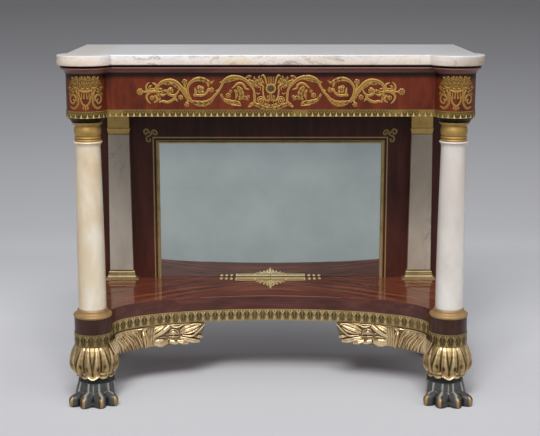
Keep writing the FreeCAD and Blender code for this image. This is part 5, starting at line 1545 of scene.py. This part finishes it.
# %% Leaves of a wing
TIP_LEAVES = [
    ([(258, 150), (243, 160), (226, 165), (206, 167)], [3, 5, 5, 2], 6, (3, 5, 6, 7), 0, 0.2),
    ([(257, 143), (241, 150), (222, 156), (199, 166)], [3, 6, 6, 2], 7, (3, 5, 6, 8), 0, 0.3),
    ([(252, 140), (234, 142), (218, 147), (203, 157)], [2, 4, 4, 1.5], 5, (2, 3, 4, 5), 0, 0.2),
    ([(240, 165), (221, 168.5), (202, 169)], [1.4, 2.6, 1.6], 5, (9, 10, 11), 0, 0.0),
    ([(252, 137), (240, 135.5), (225, 135.5), (214, 143), (200, 156), (188, 168)],
     [1.4, 2.6, 3.4, 3.4, 3, 1.4], 7, (6, 8, 10, 12, 13, 14), 0, 0.0),
    ([(219, 131), (205, 130), (194, 128)], [3, 6, 4], 5, (2, 3, 1), 0, 0.3),
    ([(259, 130), (238, 124), (219, 119), (202, 116)], [4, 8, 8, 4.5], 7, (3, 4, 4, 1), 0, 0.35),
    ([(266, 120), (250, 116), (234, 112.5)], [4, 8, 5], 6, (2, 3, 1), 0, 0.3),
]
MIDDLE_LEAVES = [
    ([(333, 160), (322, 165), (308, 168.5)], [3, 4, 2], 5, (2, 3, 4), 0, 0.3),
    ([(333, 150), (321, 157), (305, 165)], [3.5, 4.5, 3], 5, (2, 3, 4), 0, 0.3),
    ([(335, 139), (320, 147), (305, 157), (290, 169)], [3.8, 6.2, 7.6, 6.6], 9, (5, 8, 10, 10), 0, 0.0),
    ([(306, 146), (297, 144), (291, 139)], [2, 4, 2], 5, (3, 4, 4), 0, 0.3),
    ([(282, 163.5), (266, 162), (251, 166.5)], [1.6, 3, 1.4], 6, (3, 5, 6), 0, 0.0),
    ([(290, 168), (275, 168.5), (256, 169)], [1.4, 2.4, 1.2], 4, (3, 5, 6), 0, 0.0),
    ([(334, 121), (322, 120.5), (308, 120), (292, 121)], [8, 13.5, 13.5, 7], 9, (1, 3, 3, 0), 0, 0.0),
    ([(334, 135), (318, 136), (300, 136), (291, 130)], [1.2, 2.2, 2.2, 1.0], 4, (3, 4, 4, 3), 0, 0.0),
    ([(289, 122), (277, 119), (265, 114)], [6, 8, 4], 8, (3, 5, 3), 0, 0.0),
    ([(292, 136.5), (277, 135.5), (262, 134.5)], [1.4, 2, 1.4], 6, (7, 8, 7), 0, 0.0),
    ([(293, 128), (278, 128), (262, 126)], [1.6, 2.4, 1.6], 5, (2, 3, 2), 0, 0.0),
]
RIM_LEAVES = [
    ([(515, 169), (470, 169), (420, 168.5), (385, 168)], [1.6, 2.2, 2.4, 2.0], 5, (4, 5, 5, 5), 0, 0.0),
    ([(384, 166), (372, 167), (358, 168)], [2, 3.4, 1.5], 6, (5, 6, 6), 0, 0.0),
    ([(368, 160), (360, 163), (354, 167)], [2, 3.4, 1.5], 6, (4, 5, 5), 0, 0.0),
    # two leaves hang from the root over the knee
    ([(484, 128), (489, 112), (488, 98), (482, 86)], [3, 6, 5, 1.6], 8, (4, 5, 6, 6), 0, 0.3),
    ([(496, 128), (501, 116), (501, 104), (497, 95)], [3, 5, 4, 1.6], 7, (3, 4, 5, 5), 0, 0.3),
]
print("leaves listed for one wing:", len(TIP_LEAVES + MIDDLE_LEAVES + RIM_LEAVES))

# %% [markdown]
# The shelf's curve ends at the knee, and the wing goes on round it, so its wrap continues on a circle about
# the column. The core is a rounded block under the leaves, so that no gap shows between them.

# %% Wrap and core of a wing
WING_TIP, WING_ROOT, WING_FOOT = 188.0, 524.0, 106.0
KNEE_WRAP_RADIUS = math.hypot(COLUMN_X - HOLLOW_HALF, HOLLOW_Y - COLUMN_Y)
KNEE_WRAP_START = math.atan2(COLUMN_X - HOLLOW_HALF, COLUMN_Y - HOLLOW_Y)


def on_wing(sign):
    """Along the shelf's hollow, and past its end round the inner side of the knee."""
    def wrap(s, z, proud):
        """The hollow up to its end, then a circle about the column's axis."""
        beyond = np.clip(s - HOLLOW_REACH, 0, None)
        angle = KNEE_WRAP_START - beyond / KNEE_WRAP_RADIUS
        reach = KNEE_WRAP_RADIUS + proud
        x, y = COLUMN_X - reach * np.sin(angle), COLUMN_Y - reach * np.cos(angle)
        round_knee = np.stack(np.broadcast_arrays(sign * x, y, z), axis=-1)
        hollow = on_hollow(sign * np.minimum(s, HOLLOW_REACH), z, proud)
        return np.where((beyond > 0)[..., None], round_knee, hollow)

    return wrap


def wing_core(wrap):
    """The block under the leaves: a rounded section carried along the shelf's curve, narrowing at the tip."""
    s = np.concatenate([[WING_TIP], np.linspace(WING_TIP + 6, WING_ROOT, 60)])
    places = [WING_TIP, WING_TIP + 12, 215, 260, 480, WING_ROOT]
    foot = np.interp(s, places, [150, 118, 111, 108, WING_FOOT, 118])
    front = np.interp(s, [WING_TIP, WING_TIP + 10, 250, 300, 470, WING_ROOT], [-4, 1, 3, 4, 6, 4])
    turn = np.linspace(-np.pi / 2, np.pi / 2, 9)
    high = (SHELF_FOOT - 0.5 - foot)[:, None]
    z = foot[:, None] + high / 2 * (1 + np.sin(turn))
    out = front[:, None] - 7.0 * (1 - np.cos(turn)) ** 1.5
    z = np.concatenate([z, z[:, -1:], z[:, :1] + 6], axis=1)
    out = np.concatenate([out, np.full((len(s), 2), -24.0)], axis=1)
    return tube(wrap(np.broadcast_to(s[:, None], z.shape), z, out), np.full(z.shape, 0.6))


print("the wing's wrap leaves the shelf", round(HOLLOW_REACH - WING_TIP), "mm from its tip")

# %% [markdown]
# The bud is a dome inside a raised ring, and the collar is five upright reeds that lean a little. Long
# feathers flow from the rim down towards the collar, a second tier of short ones covers their roots, and
# narrow ones curl round the joint with the knee. Sines and short cycles make each one a little different
# from the last, as a carver's hand would.

# %% Wings
def bud_and_collar(wrap):
    """The bud with its ring, and the reeds of the collar."""
    ring_marks = [(293, 138), (289, 150), (277, 156), (265, 150), (261, 137)]
    blades = [
        blade(wrap, [(292, 141), (277, 144.5), (262, 140)], [3, 9.5, 3], 8, (2, 3, 2), 0, 0.0),
        blade(wrap, ring_marks, [1.6, 2, 2, 2, 1.6], 5, (3, 3, 3, 3, 3), 0, 0.0),
    ]
    for index in range(5):
        s = 332.5 + 4.8 * index
        marks = [(s + 2, 113), (s - 0.5, 130), (s, 150), (s, 167)]
        blades.append(blade(wrap, marks, [2.4, 2.6, 2.6, 2.2], 6, (3, 4, 4, 3), 0, 0.0))
    return blades


def feathers(wrap):
    """Nine long feathers, nine short ones over their roots, and nine narrow ones round the knee."""
    blades = []
    for index in range(9):
        s, sway, lean = 357 + 12.2 * index, 3.0 * math.sin(2.4 * index), min(33.0, 8.0 + 10.0 * index)
        broad, up = (1.35, 1.0, 0.75)[index % 3], (2.0, -1.0, 0.5)[index % 3]
        marks = [(s + lean, 163), (s + 0.66 * lean, 149), (s + 0.27 * lean, 131 + sway), (s, 112 - up)]
        widths = [3.5, 6.4 * broad, 7.6 * broad, 3.6]
        blades.append(blade(wrap, marks, widths, 8 * broad, (1, 2 + up, 4 + up, 3), 0, 0.5))
    for index in range(9):
        s, sway = 372 + 11.6 * index, 2.0 * math.sin(1.7 * index + 1)
        marks = [(s + 21, 168), (s + 13, 160), (s + 3 + sway, 148)]
        broad = (0.8, 1.3, 1.0, 1.15)[index % 4]
        blades.append(blade(wrap, marks, [3.0, 5.2 * broad, 2.4], 6, (4, 6, 7), 0, 0.4))
    for index in range(9):
        s = 458 + 7.4 * index
        marks = [(s + 14, 166), (s + 10, 152), (s + 1, 134), (s - 13, 113)]
        blades.append(blade(wrap, marks, [1.6, 2.8, 3.2, 1.8], 7, (1, 4, 6, 4), 0, 0.0, 16.0))
    return blades


for side, sign in SIDES:
    wrap = on_wing(sign)
    carving = [wing_core(wrap)]
    for marks, widths, rise, lift, ribs, crease in TIP_LEAVES + MIDDLE_LEAVES + RIM_LEAVES:
        carving.append(blade(wrap, marks, widths, rise, lift, ribs, crease))
    carving += bud_and_collar(wrap) + feathers(wrap)
    make_piece(f"carved_wing_{side}", carving, CARVED_GILT, [f"wing_{side}"], 60)

# %% [markdown]
# ## Floor and backdrop
# The table stands on seamless grey paper: flat on the floor, then a wide curve, then straight up. The
# paper is palest round the feet and painted darker with height, as painted shade like a studio's where the
# lamps point down, and its floor is painted lighter from the front to a little behind the table, as painted
# light. In front of the feet it sends less light back up than it shows, so that the undersides stay dark,
# and from behind it is clear, so that the table's back can be looked at too.

# %% Studio pieces
def see_through(tree, where, shader):
    """Makes a surface clear where the given socket is 1."""
    both = {0: where, 1: shader.outputs[0], 2: add(tree, "BsdfTransparent")}
    tree.links.new(add(tree, "MixShader", both), tree.nodes["Material Output"].inputs["Surface"])


def stage_piece(name, x, y, z, material):
    """A sheet of the studio. x, y and z, in millimetres, come as rows and columns of its grid."""
    points = np.stack(np.broadcast_arrays(x, y, z), axis=-1) * MM
    mesh = bpy.data.meshes.new(name)
    mesh.from_pydata(points.reshape(-1, 3).tolist(), [], grid_faces(*points.shape[:2]))
    mesh.shade_smooth()
    mesh.materials.append(material)
    piece = bpy.data.objects.new(name, mesh)
    bpy.context.scene.collection.objects.link(piece)
    print(f"{name}: {len(mesh.polygons)} faces")


# %% Paper
FLOOR_FRONT, FLOOR_BACK, SWEEP, WALL_TOP = -9000.0, 1500.0, 1500.0, 6000.0
# colours at shares of 1.6 m of height, and at shares of the floor's depth from the feet to the curve
WALL_STOPS = [(0.0, "D2D2D6"), (0.03, "C3C3C7"), (0.08, "B9B9BD"), (0.25, "9D9DA0"), (0.45, "7F7F82"),
              (0.6, "6B6B6D")]
FLOOR_STOPS = [(0.0, "C5C5C9"), (0.23, "D0D0D4"), (0.55, "DCDCE0"), (1.0, "D2D2D6")]


def studio_paper():
    """Matt paper, rolled out. Its colour follows the depth on the floor and the height on the wall, as
    painted light and shade.
    """
    material, tree, shader = finish("studio_paper", 0.8, specular=0.15)
    wall = add(tree, "ValToRGB", {"Fac": along(tree, "Z", 0.0, 1.6)}, stops=WALL_STOPS)
    floor = add(tree, "ValToRGB", {"Fac": along(tree, "Y", -0.45, 1.5)}, stops=FLOOR_STOPS)
    front = (along(tree, "Y", -0.52, -0.72), "8A8D8C")
    far_front = (along(tree, "Y", -3.6, -6.4), "A9AEAE")
    seen = add(tree, "LightPath", out="Is Camera Ray")
    floor = coats(tree, coats(tree, floor, front, far_front), (seen, floor))
    cover(tree, shader, coats(tree, floor, (along(tree, "Z", 0.0, 0.02), wall)))
    see_through(tree, add(tree, "NewGeometry", out="Backfacing"), shader)
    return material


turn = np.linspace(0, np.pi / 2, 24)
y = np.concatenate([[FLOOR_FRONT], FLOOR_BACK + SWEEP * np.sin(turn), [FLOOR_BACK + SWEEP]])
z = np.concatenate([[0.0], SWEEP * (1 - np.cos(turn)), [WALL_TOP]])
stage_piece("studio_sweep", np.linspace(-8000, 8000, 9), y[:, None], z[:, None], studio_paper())

# %% [markdown]
# Polished wood and glass show the room. A black curtain hangs behind the camera, high up, so that they show
# depth and a few soft lights instead of an even glare. The camera itself looks through it.

# %% Black curtain
material, tree, shader = finish("black_curtain", 0.9, specular=0.1)
folds = drift(grain(tree, (6.0, 1.0, 0.3)), 250.0, 3.0)
cover(tree, shader, clouded(tree, folds, [(0.3, "101012"), (0.7, "1C1C1F")]))
see_through(tree, add(tree, "LightPath", out="Is Camera Ray"), shader)
x = np.linspace(-4200, 4200, 85)
stage_piece("studio_curtain", x, -6600 + 60 * np.sin(x / 90), np.array([[1200.0], [3900.0]]), material)

# %% [markdown]
# ## Lamps
# Two large soft lamps stand high in front, one to the left and one near the middle, and give the broad
# light on the columns and the slab's edge. A weak one on the right opens the shadows, a small one over the
# table lights its top, and the plain grey world fills the rest.

# %% Lamps and world
def soft_lamp(name, place, aim, size, power):
    """A square white area lamp that faces its aim point."""
    lamp = bpy.data.lights.new(name, "AREA")
    lamp.shape, lamp.size, lamp.energy = "SQUARE", size, power
    holder = bpy.data.objects.new(name, lamp)
    bpy.context.scene.collection.objects.link(holder)
    holder.location = place
    holder.rotation_euler = (Vector(aim) - Vector(place)).to_track_quat("-Z", "Y").to_euler()


soft_lamp("key_lamp", (-1.2, -4.4, 4.6), (0, 0, 0.5), 1.5, 138.0)
soft_lamp("top_lamp", (0.2, -3.6, 5.0), (0, 0, 0.3), 2.0, 165.0)
soft_lamp("fill_lamp", (2.8, -2.4, 1.8), (0, 0, 0.5), 2.5, 14.0)
soft_lamp("overhead_lamp", (0.0, -1.1, 3.7), (0, 0, 0), 1.8, 18.0)
world = bpy.data.worlds.new("studio_world")
world.use_nodes = True
world.node_tree.nodes["Background"].inputs["Color"].default_value = linear("C8CACC")
world.node_tree.nodes["Background"].inputs["Strength"].default_value = 0.62
bpy.context.scene.world = world
print("lamps:", [light.name for light in bpy.data.lights])

# %% [markdown]
# ## Camera
# The camera stands a little over three metres away, at the height of a person's chest, and looks down by
# about eleven degrees. Its long lens keeps the two columns nearly upright and alike.

# %% Camera
CAMERA_PLACE = (-0.0127, -3.3735, 1.1487)
CAMERA_PITCH, CAMERA_TURN = 11.436, -0.187
LENS_MM, SENSOR_MM = 82.516, 36.0
camera_data = bpy.data.cameras.new("camera")
camera_data.lens, camera_data.sensor_width = LENS_MM, SENSOR_MM
camera = bpy.data.objects.new("camera", camera_data)
camera.location = CAMERA_PLACE
camera.rotation_euler = (math.radians(90 - CAMERA_PITCH), 0.0, math.radians(CAMERA_TURN))
bpy.context.scene.collection.objects.link(camera)
bpy.context.scene.camera = camera
bpy.context.scene.view_settings.view_transform = "Standard"
print("camera", round(-CAMERA_PLACE[1], 2), "m from the table's middle")
